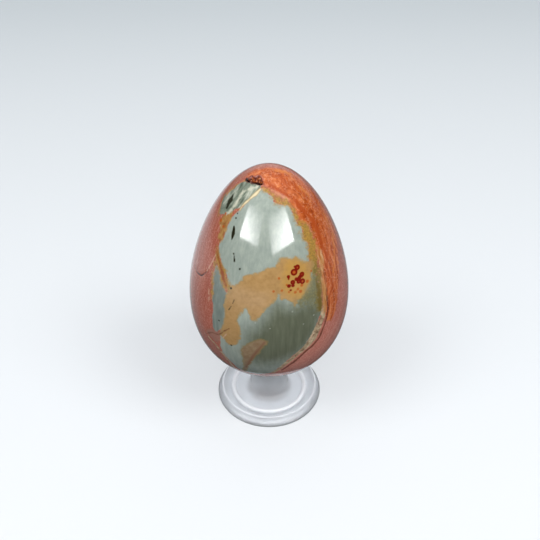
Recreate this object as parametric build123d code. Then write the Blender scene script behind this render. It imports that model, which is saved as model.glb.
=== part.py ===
from build123d import *
import math
import os

# Decorative egg on a stand: a polished stone egg that rests, blunt end down, in a clear moulded stand.
# Millimetres, +Z up, origin on the axis of the stand at the surface that it stands on.

# Egg
EGG_LENGTH = 70.0
EGG_WIDTH = 49.0
EGG_TAPER = 0.238       # share by which the blunt end is fuller than the pointed end
EGG_FULLNESS = 0.046    # share by which both ends are fuller than an ellipse
EGG_POINTS = 24         # stretches of the egg's half outline

# Seat of the stand
SEAT_HEIGHT = 16.6      # lowest point of the hollow that the egg rests in
SEAT_CLEARANCE = 0.1    # between the egg and its seat
SEAT_POINTS = 8         # stretches of the seat's half outline
CUP_DIAMETER = 20.8
CUP_FLARE_HEIGHT = 5.9  # from the straight stem to the lip
LIP_ROUND = 0.5
LIP_LAND = 0.4          # flat ring between the seat and the rounding of the lip

# Stem of the stand
STEM_DIAMETER = 12.8
STEM_FILLET = 2.4       # where the stem meets the foot

# Foot of the stand
BASE_DIAMETER = 35.6
BASE_EDGE_ROUND = 0.3
FOOT_RING_WIDTH = 2.4   # the ring that touches the table
RIM_LEAN = 1.8          # how far the ridge lies inside the base edge
RIDGE_HEIGHT = 3.1
RIDGE_ROUND = 0.45
RIDGE_TURN = 125        # degrees round the ridge, from level, at which the dish begins
FLOOR_HEIGHT = 1.5      # upper face of the saucer
FLOOR_THICKNESS = 1.25
BEAD_INSET = 3.7        # from the ridge in to the raised bead
BEAD_WIDTH = 1.8
BEAD_RISE = 0.75
GROOVE_SLOPE_WIDTH = 1.4
GROOVE_HEIGHT = 1.1     # hollow under the ridge, from the table up
GROOVE_EDGE = 0.5       # upright edge between that hollow and the foot ring

# Places worked out from the sizes above
EGG_REST = SEAT_HEIGHT + SEAT_CLEARANCE
EGG_CENTRE = EGG_REST + EGG_LENGTH / 2
BASE_RADIUS = BASE_DIAMETER / 2
RIDGE_RADIUS = BASE_RADIUS - RIM_LEAN
BEAD_RADIUS = RIDGE_RADIUS - BEAD_INSET
STEM_RADIUS = STEM_DIAMETER / 2
CUP_RADIUS = CUP_DIAMETER / 2
SEAT_RADIUS = CUP_RADIUS - LIP_ROUND - LIP_LAND
FLOOR_UNDERSIDE = FLOOR_HEIGHT - FLOOR_THICKNESS


def girth(turn):
    """Relative radius of the egg at an angle from -90 degrees, the blunt end, to 90, the pointed end."""
    rise = math.sin(turn)
    return math.cos(turn) * (1 - EGG_TAPER * rise + EGG_FULLNESS * rise**2)


WIDEST = max(girth(math.radians(step / 10)) for step in range(-900, 901))


def egg_point(turn, gap=0.0):
    """Radius and height of a point of the egg, or of a surface a gap outside it."""
    small = 1e-4
    radius = EGG_WIDTH / 2 * girth(turn) / WIDEST
    height = EGG_CENTRE + EGG_LENGTH / 2 * math.sin(turn)
    along_radius = EGG_WIDTH / 2 * (girth(turn + small) - girth(turn - small)) / (2 * small * WIDEST)
    along_height = EGG_LENGTH / 2 * math.cos(turn)
    run = math.hypot(along_radius, along_height)
    return radius + gap * along_height / run, height - gap * along_radius / run


def seat_turn(radius):
    """Angle on the egg's blunt end at which the seat under it has this radius, found by halving."""
    low = -math.pi / 2
    high = 0.0
    for _ in range(50):
        middle = (low + high) / 2
        if egg_point(middle, SEAT_CLEARANCE)[0] < radius:
            low = middle
        else:
            high = middle
    return low


def place(radius, height):
    """A point of a half outline, in the upright plane through the axis."""
    return Vector(radius, 0, height)


def on_circle(centre_radius, centre_height, size, degrees):
    """A point of a rounding about a centre in the half outline."""
    angle = math.radians(degrees)
    return place(centre_radius + size * math.cos(angle), centre_height + size * math.sin(angle))


def spun(edges):
    """Solid of a closed half outline turned about the upright axis."""
    return revolve(make_face(Wire(edges)), Axis.Z, 360)


def stone_egg():
    """Solid polished egg, blunt end down."""
    turns = [-math.pi / 2 + math.pi * step / EGG_POINTS for step in range(1, EGG_POINTS)]
    bottom = place(0, EGG_CENTRE - EGG_LENGTH / 2)
    top = place(0, EGG_CENTRE + EGG_LENGTH / 2)
    points = [bottom] + [place(*egg_point(turn)) for turn in turns] + [top]
    outline = Spline(points, tangents=[(1, 0, 0), (-1, 0, 0)])
    return spun([outline, Line(top, bottom)])


def wall_facing(base_round, ridge_middle):
    """Angle above level that the sloping wall faces, in degrees, so that it runs smoothly into both roundings."""
    lean = base_round - RIDGE_RADIUS
    rise = ridge_middle - BASE_EDGE_ROUND
    swing = math.acos((RIDGE_ROUND - BASE_EDGE_ROUND) / math.hypot(lean, rise))
    return math.degrees(swing - math.atan2(rise, lean))


def foot_edges():
    """Outside of the foot, from the ring it stands on over the ridge and the bead to the stem's fillet."""
    base_round = BASE_RADIUS - BASE_EDGE_ROUND
    ridge_middle = RIDGE_HEIGHT - RIDGE_ROUND
    facing = wall_facing(base_round, ridge_middle)
    start = place(BASE_RADIUS - FOOT_RING_WIDTH, 0)
    base_end = place(base_round, 0)
    base_middle = on_circle(base_round, BASE_EDGE_ROUND, BASE_EDGE_ROUND, (facing - 90) / 2)
    wall_start = on_circle(base_round, BASE_EDGE_ROUND, BASE_EDGE_ROUND, facing)
    wall_end = on_circle(RIDGE_RADIUS, ridge_middle, RIDGE_ROUND, facing)
    crest = on_circle(RIDGE_RADIUS, ridge_middle, RIDGE_ROUND, (facing + RIDGE_TURN) / 2)
    slope_start = on_circle(RIDGE_RADIUS, ridge_middle, RIDGE_ROUND, RIDGE_TURN)
    slope_way = on_circle(0, 0, 1, RIDGE_TURN + 90)
    bead_out = place(BEAD_RADIUS + BEAD_WIDTH / 2, FLOOR_HEIGHT)
    bead_top = place(BEAD_RADIUS, FLOOR_HEIGHT + BEAD_RISE)
    bead_in = place(BEAD_RADIUS - BEAD_WIDTH / 2, FLOOR_HEIGHT)
    fillet_start = place(STEM_RADIUS + STEM_FILLET, FLOOR_HEIGHT)
    return [
        Line(start, base_end),
        ThreePointArc(base_end, base_middle, wall_start),
        Line(wall_start, wall_end),
        ThreePointArc(wall_end, crest, slope_start),
        TangentArc(slope_start, bead_out, tangent=slope_way),
        ThreePointArc(bead_out, bead_top, bead_in),
        Line(bead_in, fillet_start),
    ]


def stem_edges():
    """Outside of the stem and the cup, up to the rounded lip, and the seat in to the axis."""
    fillet_radius = STEM_RADIUS + STEM_FILLET
    fillet_height = FLOOR_HEIGHT + STEM_FILLET
    fillet_start = place(fillet_radius, FLOOR_HEIGHT)
    stem_start = place(STEM_RADIUS, fillet_height)
    edge_turn = seat_turn(SEAT_RADIUS)
    seat_edge = place(*egg_point(edge_turn, SEAT_CLEARANCE))
    lip_radius = CUP_RADIUS - LIP_ROUND
    lip_height = seat_edge.Z - LIP_ROUND
    lip_start = on_circle(lip_radius, lip_height, LIP_ROUND, -45)
    lip_end = place(lip_radius, seat_edge.Z)
    flare_start = place(STEM_RADIUS, seat_edge.Z - CUP_FLARE_HEIGHT)
    steps = [step / SEAT_POINTS for step in range(1, SEAT_POINTS)]
    turns = [edge_turn + (-math.pi / 2 - edge_turn) * step for step in steps]
    seat_low = place(0, SEAT_HEIGHT)
    seat = [seat_edge] + [place(*egg_point(turn, SEAT_CLEARANCE)) for turn in turns] + [seat_low]
    return [
        ThreePointArc(fillet_start, on_circle(fillet_radius, fillet_height, STEM_FILLET, 225), stem_start),
        Line(stem_start, flare_start),
        Spline([flare_start, lip_start], tangents=[(0, 0, 1), (1, 0, 1)]),
        ThreePointArc(lip_start, place(CUP_RADIUS, lip_height), lip_end),
        Line(lip_end, seat_edge),
        Spline(seat),
    ]


def underside_edges():
    """Underside: down the axis of the solid stem, then under the floor and the ridge to the foot ring."""
    seat_low = place(0, SEAT_HEIGHT)
    under_middle = place(0, FLOOR_UNDERSIDE)
    groove_in = place(BEAD_RADIUS + BEAD_WIDTH / 2, FLOOR_UNDERSIDE)
    groove_top = place(groove_in.X + GROOVE_SLOPE_WIDTH, GROOVE_HEIGHT)
    groove_out = place(BASE_RADIUS - FOOT_RING_WIDTH, GROOVE_EDGE)
    return [
        Line(seat_low, under_middle),
        Line(under_middle, groove_in),
        Line(groove_in, groove_top),
        TangentArc(groove_top, groove_out, tangent=groove_top - groove_in),
        Line(groove_out, place(BASE_RADIUS - FOOT_RING_WIDTH, 0)),
    ]


def clear_stand():
    """One clear moulding: saucer foot with a ridge and a bead, solid stem, cup with a seat for the egg."""
    return spun(foot_edges() + stem_edges() + underside_edges())


os.makedirs("parts", exist_ok=True)
for name, solid in (("stone_egg", stone_egg()), ("clear_stand", clear_stand())):
    solid.label = name
    export_step(solid, f"parts/{name}.step")
    print(f"{name}: {solid.volume:.1f} mm3, box {solid.bounding_box()}")
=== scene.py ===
# %% [markdown]
# # A polished stone egg on a clear stand
# The object has two pieces. The egg is ground from one lump of banded jasper and polished all over. The
# stand is one clear moulding that the egg rests in. The imported model gives the place and size of both,
# and this lesson gives them their looks: the natural pattern of the stone, the polish, the small hollow
# lined with crystals, and the way clear plastic bends the light, with painted highlights on its crests
# and painted shade on its stem, wall and lower edge.

# %% Load the frame
import math

import bmesh
import bpy
import numpy as np
from mathutils import Matrix, Vector
from mathutils.bvhtree import BVHTree


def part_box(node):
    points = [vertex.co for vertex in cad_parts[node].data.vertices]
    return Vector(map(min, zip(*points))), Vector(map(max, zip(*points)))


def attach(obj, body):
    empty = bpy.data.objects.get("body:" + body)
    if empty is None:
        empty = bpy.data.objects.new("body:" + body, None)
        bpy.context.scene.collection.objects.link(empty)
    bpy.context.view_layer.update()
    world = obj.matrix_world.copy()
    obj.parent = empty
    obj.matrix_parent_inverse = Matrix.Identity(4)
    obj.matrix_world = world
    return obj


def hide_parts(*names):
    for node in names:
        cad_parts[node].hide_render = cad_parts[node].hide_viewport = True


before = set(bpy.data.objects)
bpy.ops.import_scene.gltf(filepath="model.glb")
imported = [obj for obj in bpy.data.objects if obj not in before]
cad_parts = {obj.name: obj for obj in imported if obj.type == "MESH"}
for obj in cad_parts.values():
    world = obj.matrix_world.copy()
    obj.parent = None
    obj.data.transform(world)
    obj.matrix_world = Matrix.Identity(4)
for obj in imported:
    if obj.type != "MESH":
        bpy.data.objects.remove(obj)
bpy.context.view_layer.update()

MM = 0.001
EGG_LOW, EGG_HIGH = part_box("stone_egg")
EGG_LENGTH = EGG_HIGH[2] - EGG_LOW[2]
EGG_WIDTH = EGG_HIGH[0] - EGG_LOW[0]
BASE_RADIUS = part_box("clear_stand")[1][0] / MM
print(f"egg {EGG_WIDTH / MM:.1f} x {EGG_LENGTH / MM:.1f} mm, foot {2 * BASE_RADIUS:.1f} mm across")

# %% [markdown]
# ## Camera
# The picture was taken from close by, looking down at about 37 degrees. Its camera was worked out from
# the outline of the egg and the ellipse of the foot. The focal length is written in pixels of the square
# picture, because the same number later turns a pixel into a line of sight.

# %% Camera
FRAME_PX = 540
FOCAL_PX = 628
CAMERA_PLACE = Vector((0.3, -151.4, 167.5)) * MM
CAMERA_DIP = math.radians(37.35)
SENSOR_WIDTH = 36.0

scene = bpy.context.scene
scene.view_settings.view_transform = "Standard"
lens = bpy.data.cameras.new("photo_camera")
lens.sensor_width = SENSOR_WIDTH
lens.lens = SENSOR_WIDTH * FOCAL_PX / FRAME_PX
lens.clip_start = 10 * MM
camera = bpy.data.objects.new("photo_camera", lens)
camera.location = CAMERA_PLACE
camera.rotation_euler = (math.pi / 2 - CAMERA_DIP, 0, 0)
scene.collection.objects.link(camera)
scene.camera = camera
print(f"lens {lens.lens:.1f} mm on a {SENSOR_WIDTH:.0f} mm sensor")

# %% [markdown]
# ## Two small helpers
# Every material, light and node tree below is built with one function that adds a node, sets it up and
# links its inputs. Colours are written as the usual six-digit screen codes, and one function turns a code
# into the linear numbers that Blender calculates with.

# %% Helpers for nodes and colours
def colour(code):
    """Linear colour of a screen code such as "C49A62"."""
    shares = [int(code[start:start + 2], 16) / 255 for start in (0, 2, 4)]
    linear = [share / 12.92 if share <= 0.04045 else ((share + 0.055) / 1.055) ** 2.4 for share in shares]
    return (*linear, 1.0)


def add(tree, kind, inputs=None, stops=None, **settings):
    """Adds a node: settings by name, inputs by name or number (a value, or a socket to link), ramp stops."""
    node = tree.nodes.new(kind)
    for name, value in settings.items():
        setattr(node, name, value)
    for name, value in (inputs or {}).items():
        if isinstance(value, bpy.types.NodeSocket):
            tree.links.new(value, node.inputs[name])
        else:
            node.inputs[name].default_value = value
    if stops:
        elements = node.color_ramp.elements
        while len(elements) < len(stops):
            elements.new(1.0)
        for element, (position, code) in zip(elements, stops):
            element.position = position
            element.color = colour(code)
    return node


print("cream", [round(share, 3) for share in colour("D9C39B")])

# %% [markdown]
# ## Studio floor
# The picture was taken on a white sheet that fades a little towards the back. Lit paper alone would look
# grey here, so part of what the camera sees of the sheet is its own glow, and the rest is lit and keeps
# the shadow. The clear plastic sees the same sheet. How much of it the polish mirrors is set to match the
# picture: most behind the egg and far away, and little in front of it and to the right. Light that
# bounces from the sheet to the stone comes from a darker one, because the underside of the real egg lies
# in shade. The floor is a hair under the foot: two faces in the very same plane would flicker.

# %% Floor
FLOOR_REACH = 3.0
FLOOR_DROP = 0.05 * MM
FLOOR_GLOW = 0.31
FLOOR_FRONT = -30 * MM
FLOOR_BACK = 480 * MM
MIRROR_LEAST = 0.1
MIRROR_SHADED = 130 * MM
MIRROR_OPEN = 330 * MM
MIRROR_BEHIND = 80 * MM
MIRROR_BRIGHT = 300 * MM
MIRROR_END = 900 * MM
MIRROR_SIDE = 60 * MM
MIRROR_DIM = 0.3

floor_mesh = bpy.data.meshes.new("studio_floor")
corner_signs = ((-1, -1), (1, -1), (1, 1), (-1, 1))
floor_corners = [(x * FLOOR_REACH, y * FLOOR_REACH, -FLOOR_DROP) for x, y in corner_signs]
floor_mesh.from_pydata(floor_corners, [], [(0, 1, 2, 3)])
floor = bpy.data.objects.new("studio_floor", floor_mesh)
scene.collection.objects.link(floor)
# White paper, rolled matt: shows shade and no mirror image; its glow has a painted fall-off to the back
sheet = bpy.data.materials.new("matt_white_sheet")
sheet.use_nodes = True
tree = sheet.node_tree
tree.nodes.clear()
here = add(tree, "ShaderNodeTexCoord").outputs["Object"]
spot = add(tree, "ShaderNodeSeparateXYZ", {0: here}).outputs
# Painted fall-off of light: the glow is darker towards the back
depth = add(tree, "ShaderNodeMapRange", {"Value": spot["Y"], 1: FLOOR_FRONT, 2: FLOOR_BACK})
paper_with_painted_falloff = add(tree, "ShaderNodeValToRGB", {0: depth.outputs[0]}, stops=[(0.0, "FDFDFF"), (1.0, "D6E1E5")])
lit = add(tree, "ShaderNodeBsdfDiffuse", {"Color": colour("DBE0E3")})
glow = add(tree, "ShaderNodeEmission", {"Color": paper_with_painted_falloff.outputs[0], "Strength": 1.0})
shown = add(tree, "ShaderNodeMixShader", {0: FLOOR_GLOW, 1: lit.outputs[0], 2: glow.outputs[0]})
bounce = add(tree, "ShaderNodeBsdfDiffuse", {"Color": colour("46484A")})
sight = add(tree, "ShaderNodeLightPath").outputs
clearly = {0: sight["Is Camera Ray"], 1: sight["Is Transmission Ray"]}
clearly = add(tree, "ShaderNodeMath", clearly, operation="MAXIMUM").outputs[0]
away = add(tree, "ShaderNodeVectorMath", {0: here}, operation="LENGTH").outputs["Value"]
opening = {"Value": away, 1: MIRROR_SHADED, 2: MIRROR_OPEN, 3: MIRROR_LEAST, 4: 1.0}
opening = add(tree, "ShaderNodeMapRange", opening).outputs[0]
backward = {"Value": spot["Y"], 1: 0.0, 2: MIRROR_BEHIND, 3: MIRROR_LEAST, 4: 1.0}
backward = add(tree, "ShaderNodeMapRange", backward).outputs[0]
mirrored = add(tree, "ShaderNodeMath", {0: opening, 1: backward}, operation="MAXIMUM").outputs[0]
ending = {"Value": away, 1: MIRROR_BRIGHT, 2: MIRROR_END, 3: 1.0, 4: MIRROR_DIM}
ending = add(tree, "ShaderNodeMapRange", ending).outputs[0]
sideways = {"Value": spot["X"], 1: -MIRROR_SIDE, 2: MIRROR_SIDE, 3: 1.0, 4: MIRROR_DIM}
sideways = add(tree, "ShaderNodeMapRange", sideways).outputs[0]
for share in (ending, sideways):
    mirrored = add(tree, "ShaderNodeMath", {0: mirrored, 1: share}, operation="MULTIPLY").outputs[0]
faintly = {0: sight["Is Glossy Ray"], 1: mirrored}
faintly = add(tree, "ShaderNodeMath", faintly, operation="MULTIPLY").outputs[0]
seen = add(tree, "ShaderNodeMath", {0: clearly, 1: faintly}, operation="MAXIMUM").outputs[0]
floor_look = add(tree, "ShaderNodeMixShader", {0: seen, 1: bounce.outputs[0], 2: shown.outputs[0]})
add(tree, "ShaderNodeOutputMaterial", {0: floor_look.outputs[0]})
floor_mesh.materials.append(sheet)
print("floor", FLOOR_REACH * 2, "m across")

# %% [markdown]
# ## Sky
# The world stands for the room: pale overhead and behind the object, and dim elsewhere, so that the
# polish keeps its deep colours. The camera and the clear plastic see it pale all round, as a plain
# backdrop. A white wall could stand there instead, but its light would also fall on the stone.

# %% Sky
SKY_LOW = 0.06
SKY_HIGH = 0.75
SKY_START = 0.4
BACKDROP = 0.75
BACKDROP_START = 0.3
BACKDROP_FULL = 0.95
SKY_SHOWN = 0.82
SKY_THROUGH = 0.6

sky = bpy.data.worlds.new("studio_air")
scene.world = sky
sky.use_nodes = True
tree = sky.node_tree
way = add(tree, "ShaderNodeSeparateXYZ", {0: add(tree, "ShaderNodeTexCoord").outputs["Generated"]}).outputs
above = {"Value": way["Z"], 1: SKY_START, 2: 1.0, 3: SKY_LOW, 4: SKY_HIGH}
above = add(tree, "ShaderNodeMapRange", above).outputs[0]
behind = {"Value": way["Y"], 1: BACKDROP_START, 2: BACKDROP_FULL, 4: BACKDROP}
behind = add(tree, "ShaderNodeMapRange", behind).outputs[0]
level = add(tree, "ShaderNodeMath", {0: above, 1: behind}, operation="MAXIMUM").outputs[0]
sight = add(tree, "ShaderNodeLightPath").outputs
for ray, least in (("Is Transmission Ray", SKY_THROUGH), ("Is Camera Ray", SKY_SHOWN)):
    share = add(tree, "ShaderNodeMath", {0: sight[ray], 1: least}, operation="MULTIPLY").outputs[0]
    level = add(tree, "ShaderNodeMath", {0: level, 1: share}, operation="MAXIMUM").outputs[0]
tree.nodes["Background"].inputs["Color"].default_value = colour("F6F9FF")
tree.links.new(level, tree.nodes["Background"].inputs["Strength"])
print("sky from", SKY_LOW, "at the horizon to", SKY_HIGH, "overhead")

# %% [markdown]
# ## Soft lights
# Two bright boxes stand in front, one on each side of the camera. They show as the two white patches on
# the polish, and their own nodes make them brightest at the lower outer corner: that gives the patches
# crisp lower edges and soft upper ends. Each box is rolled a few degrees, because the patches lean. They
# are there for the polish alone. Three other lights fall on the stone and on the sheet: two high ones at
# the sides, which cast the short shadows beside the stand, and one in front. They are kept out of
# reflections, because the polish of the real egg shows no trace of them. Each row below gives turn and
# rise in degrees, width and height in metres, and watts.

# %% Soft lights
LIGHT_DISTANCE = 0.9
LIGHT_AIM = Vector((0, 0, 70 * MM))
BOXES = {
    "left": (-38.5, 34.5, 0.57, 0.45, 4.3),
    "right": (24, 33.5, 0.66, 0.48, 6.0),
}
LIGHTS = {
    "left_side": (-60, 48, 0.40, 0.40, 3.5),
    "right_side": (60, 48, 0.40, 0.40, 4.1),
    "front": (0, 35, 0.60, 0.50, 4.0),
}
BOX_ROLL = {"left": 2, "right": 6}
GLARE_OUTER = 1.0
GLARE_INNER = 0.2
GLARE_LOW = 4.6
GLARE_HIGH = 0.3


def soft_light(name, turn, rise, width, height, watts):
    """Area lamp that faces the object, turned from the front and raised by these degrees."""
    lamp = bpy.data.lights.new(name, "AREA")
    lamp.shape = "RECTANGLE"
    lamp.size = width
    lamp.size_y = height
    lamp.energy = watts
    turn, rise = math.radians(turn), math.radians(rise)
    way = Vector((math.sin(turn) * math.cos(rise), -math.cos(turn) * math.cos(rise), math.sin(rise)))
    holder = bpy.data.objects.new(name, lamp)
    holder.location = LIGHT_AIM + way * LIGHT_DISTANCE
    holder.rotation_euler = (-way).to_track_quat("-Z", "Y").to_euler()
    scene.collection.objects.link(holder)
    return holder


def shade_box(holder, turn):
    """Makes a box brightest at its lower outer corner."""
    holder.data.use_nodes = True
    tree = holder.data.node_tree
    spot = add(tree, "ShaderNodeSeparateXYZ", {0: add(tree, "ShaderNodeNewGeometry").outputs["Parametric"]})
    ends = (GLARE_OUTER, GLARE_INNER) if turn < 0 else (GLARE_INNER, GLARE_OUTER)
    across = add(tree, "ShaderNodeMapRange", {"Value": spot.outputs["X"], 3: ends[0], 4: ends[1]}).outputs[0]
    upward = {"Value": spot.outputs["Y"], 3: GLARE_LOW, 4: GLARE_HIGH}
    upward = add(tree, "ShaderNodeMapRange", upward).outputs[0]
    level = add(tree, "ShaderNodeMath", {0: across, 1: upward}, operation="MULTIPLY").outputs[0]
    tree.links.new(level, tree.nodes["Emission"].inputs["Strength"])


for name, settings in BOXES.items():
    box = soft_light(f"{name}_box", *settings)
    box.rotation_euler.rotate_axis("Z", math.radians(BOX_ROLL[name]))
    shade_box(box, settings[0])
    box.visible_diffuse = False
    box.visible_transmission = False
for name, settings in LIGHTS.items():
    light = soft_light(f"{name}_light", *settings)
    light.visible_glossy = False
print(len(BOXES), "boxes and", len(LIGHTS), "lights")

# %% [markdown]
# ## The egg's shape
# An egg ground from stone follows a simple rule. Going from the blunt end to the pointed end by an angle,
# its height is a sine and its radius a cosine, and the radius is made a little larger below than above.
# The same rule made the solid model. A subdivided sphere could be pushed into this shape, but Geometry
# Nodes keep the rule itself: a flat grid is rolled up, and its rows follow the rule. The columns crowd
# towards the side that the picture shows, where the pattern is finest.

# %% The egg's rule, as sums
EGG_TAPER = 0.238
EGG_FULLNESS = 0.046
EGG_COLUMNS = 290
EGG_ROWS = 340
EGG_CROWDING = 0.55
SEAM_GAP = 0.001 * MM
GIRTH_RULE = [
    ("even turn", "MULTIPLY", "across", 2 * math.pi),
    ("crowd", "SINE", "even turn"),
    ("crowd", "MULTIPLY", "crowd", "Crowding"),
    ("turn", "SUBTRACT", "even turn", "crowd"),
    ("climb", "MULTIPLY", "up", math.pi),
    ("rise", "SINE", "climb"),
    ("fuller", "MULTIPLY", "rise", "rise"),
    ("fuller", "MULTIPLY", "fuller", "Fullness"),
    ("thinner", "MULTIPLY", "rise", "Taper"),
    ("share", "SUBTRACT", "fuller", "thinner"),
    ("share", "ADD", "share", 1.0),
    ("girth", "COSINE", "climb"),
    ("girth", "MULTIPLY", "girth", "share"),
]
PLACE_RULE = [
    ("radius", "DIVIDE", "girth", "widest"),
    ("radius", "MULTIPLY", "radius", "Width"),
    ("radius", "MULTIPLY", "radius", 0.5),
    ("x", "SINE", "turn"),
    ("x", "MULTIPLY", "x", "radius"),
    ("y", "COSINE", "turn"),
    ("y", "MULTIPLY", "y", "radius"),
    ("y", "MULTIPLY", "y", -1.0),
    ("z", "ADD", "rise", 1.0),
    ("z", "MULTIPLY", "z", "Length"),
    ("z", "MULTIPLY", "z", 0.5),
    ("z", "ADD", "z", "Lowest point"),
]


def work_out(tree, sums, rule):
    """Adds a rule's sums to a tree: each has a name, an operation and terms, numbers or earlier names."""
    for name, operation, *terms in rule:
        inputs = {slot: sums.get(term, term) for slot, term in enumerate(terms)}
        sums[name] = add(tree, "ShaderNodeMath", inputs, operation=operation).outputs[0]


print(len(GIRTH_RULE) + len(PLACE_RULE), "sums make the egg")

# %% [markdown]
# ## The egg's node tree
# The tree has a named input for every size of the rule, so that the same tree makes any egg. The grid's
# two directions become the turn about the axis and the climb from end to end, and the seam and the two
# ends are closed by merging the points that meet there.

# %% The egg's node tree
def with_inputs(name, inputs):
    """New node tree with these named inputs of these socket kinds, and one geometry output."""
    tree = bpy.data.node_groups.new(name, "GeometryNodeTree")
    for label, kind in inputs.items():
        tree.interface.new_socket(label, in_out="INPUT", socket_type="NodeSocket" + kind)
    tree.interface.new_socket("Piece", in_out="OUTPUT", socket_type="NodeSocketGeometry")
    return tree


egg_tree = with_inputs("egg_by_rule", {
    "Length": "Float", "Width": "Float", "Lowest point": "Float", "Taper": "Float", "Fullness": "Float",
    "Crowding": "Float", "Columns": "Int", "Rows": "Int", "Stone": "Material",
})
given = add(egg_tree, "NodeGroupInput").outputs
sums = {socket.name: socket for socket in given}
work_out(egg_tree, sums, [("across count", "ADD", "Columns", 1), ("up count", "ADD", "Rows", 1)])
grid = {"Size X": 1.0, "Size Y": 1.0, "Vertices X": sums["across count"], "Vertices Y": sums["up count"]}
grid = add(egg_tree, "GeometryNodeMeshGrid", grid).outputs["Mesh"]
grid_place = add(egg_tree, "GeometryNodeInputPosition").outputs[0]
cell = add(egg_tree, "ShaderNodeSeparateXYZ", {0: grid_place}).outputs
sums.update({"across": cell["X"], "up": cell["Y"]})
work_out(egg_tree, sums, GIRTH_RULE)
girths = add(egg_tree, "GeometryNodeAttributeStatistic", {"Geometry": grid, "Attribute": sums["girth"]})
sums["widest"] = girths.outputs["Max"]
work_out(egg_tree, sums, PLACE_RULE)
spot = add(egg_tree, "ShaderNodeCombineXYZ", {"X": sums["x"], "Y": sums["y"], "Z": sums["z"]})
rolled = add(egg_tree, "GeometryNodeSetPosition", {"Geometry": grid, "Position": spot.outputs[0]})
closed = {"Geometry": rolled.outputs[0], "Distance": SEAM_GAP}
closed = add(egg_tree, "GeometryNodeMergeByDistance", closed)
smooth = add(egg_tree, "GeometryNodeSetShadeSmooth", {"Geometry": closed.outputs[0]})
real = add(egg_tree, "GeometryNodeRealizeInstances", {"Geometry": smooth.outputs[0]})
dressed = add(egg_tree, "GeometryNodeSetMaterial", {"Geometry": real.outputs[0], "Material": given["Stone"]})
add(egg_tree, "NodeGroupOutput", {0: dressed.outputs[0]})
print("tree of", len(egg_tree.nodes), "nodes")

# %% [markdown]
# ## The egg as a plain mesh
# The pattern is stored on the points of the mesh, so the tree is evaluated once and its result is kept as
# a plain mesh. A modifier that stayed live would make the points anew each time.

# %% The egg as a plain mesh
def grown(name, tree, values, start=None):
    """Object whose plain mesh is what a node tree grows from a start mesh, with these named values."""
    holder = bpy.data.objects.new(name, start or bpy.data.meshes.new(name))
    scene.collection.objects.link(holder)
    modifier = holder.modifiers.new(tree.name, "NODES")
    modifier.node_group = tree
    for socket in tree.interface.items_tree:
        if socket.in_out == "INPUT" and socket.name in values:
            modifier[socket.identifier] = values[socket.name]
    shown = holder.evaluated_get(bpy.context.evaluated_depsgraph_get())
    mesh = bpy.data.meshes.new_from_object(shown)
    holder.modifiers.clear()
    holder.data = mesh
    mesh.name = name
    return holder


def triangles(mesh):
    """How many triangles a mesh has."""
    return sum(len(face.vertices) - 2 for face in mesh.polygons)


# Jasper, ground and polished: colours deep as if wet, under an even gloss
jasper = bpy.data.materials.new("polished_jasper")
egg = grown("polished_egg", egg_tree, {
    "Length": EGG_LENGTH, "Width": EGG_WIDTH, "Lowest point": EGG_LOW[2], "Taper": EGG_TAPER,
    "Fullness": EGG_FULLNESS, "Crowding": EGG_CROWDING, "Columns": EGG_COLUMNS, "Rows": EGG_ROWS,
    "Stone": jasper,
})
shell = bmesh.new()
shell.from_mesh(egg.data)
bmesh.ops.recalc_face_normals(shell, faces=shell.faces)
shell.to_mesh(egg.data)
shell.free()
print("egg:", len(egg.data.vertices), "points,", triangles(egg.data), "triangles")

# %% [markdown]
# ## From a pixel to a place on the stone
# The pattern of a natural stone follows no rule, so its zones are drawn as a stone cutter would mark
# them: by outlines. Each outline is a short list of points, read off the picture. A line of sight
# through a pixel meets the egg at one place, and that turns the list into a curve that lies on the stone.
# From then on the pattern belongs to the mesh: every point of the mesh remembers how many millimetres it
# lies inside or outside each zone, and the material reads those numbers. The far half of the egg is drawn
# in the same way, as the same camera would see it after a walk round the object.

# %% Lines of sight
CAMERA_AXES = np.array(camera.rotation_euler.to_matrix())
CAMERA_MM = np.array(CAMERA_PLACE) / MM
egg_points = np.array([point.co for point in egg.data.vertices]) / MM
egg_normals = np.array([point.normal for point in egg.data.vertices])
egg_surface = BVHTree.FromPolygons([tuple(point) for point in egg_points],
                                   [tuple(face.vertices) for face in egg.data.polygons])


def turned(points, degrees):
    """Points turned about the upright axis."""
    return points @ np.array(Matrix.Rotation(math.radians(degrees), 3, "Z")).T


def to_pixels(points, side):
    """Pixels of points on the egg, in mm, for the camera walked a number of degrees round the object."""
    seen = (turned(points, -side) - CAMERA_MM) @ CAMERA_AXES
    return np.stack([FRAME_PX / 2 - FOCAL_PX * seen[:, 0] / seen[:, 2],
                     FRAME_PX / 2 + FOCAL_PX * seen[:, 1] / seen[:, 2]], axis=1)


def land(pixels, side):
    """Places on the egg, in mm, that the camera sees at some pixels, and whether each pixel meets the egg."""
    rays = np.stack([pixels[:, 0] - FRAME_PX / 2, FRAME_PX / 2 - pixels[:, 1],
                     np.full(len(pixels), -float(FOCAL_PX))], axis=1) @ CAMERA_AXES.T
    start = Vector(turned(CAMERA_MM[None], side)[0])
    hits = [egg_surface.ray_cast(start, Vector(ray).normalized())[0] for ray in turned(rays, side)]
    return np.array([hit for hit in hits if hit is not None]), np.array([hit is not None for hit in hits])


def facing(side):
    """Which points of the egg face the camera walked this far round."""
    return ((turned(CAMERA_MM[None], side) - egg_points) * egg_normals).sum(axis=1) > 0


print("points in the picture's view:", int(facing(0).sum()))

# %% [markdown]
# ## Distances to outlines
# A smooth curve runs through the few points of an outline. The edge of a zone could be tested in the
# picture, but a pixel near the egg's outline covers more stone than one in the middle. So for each point
# of the egg the nearest place on the curve is found in millimetres, and every edge is equally soft.

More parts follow.
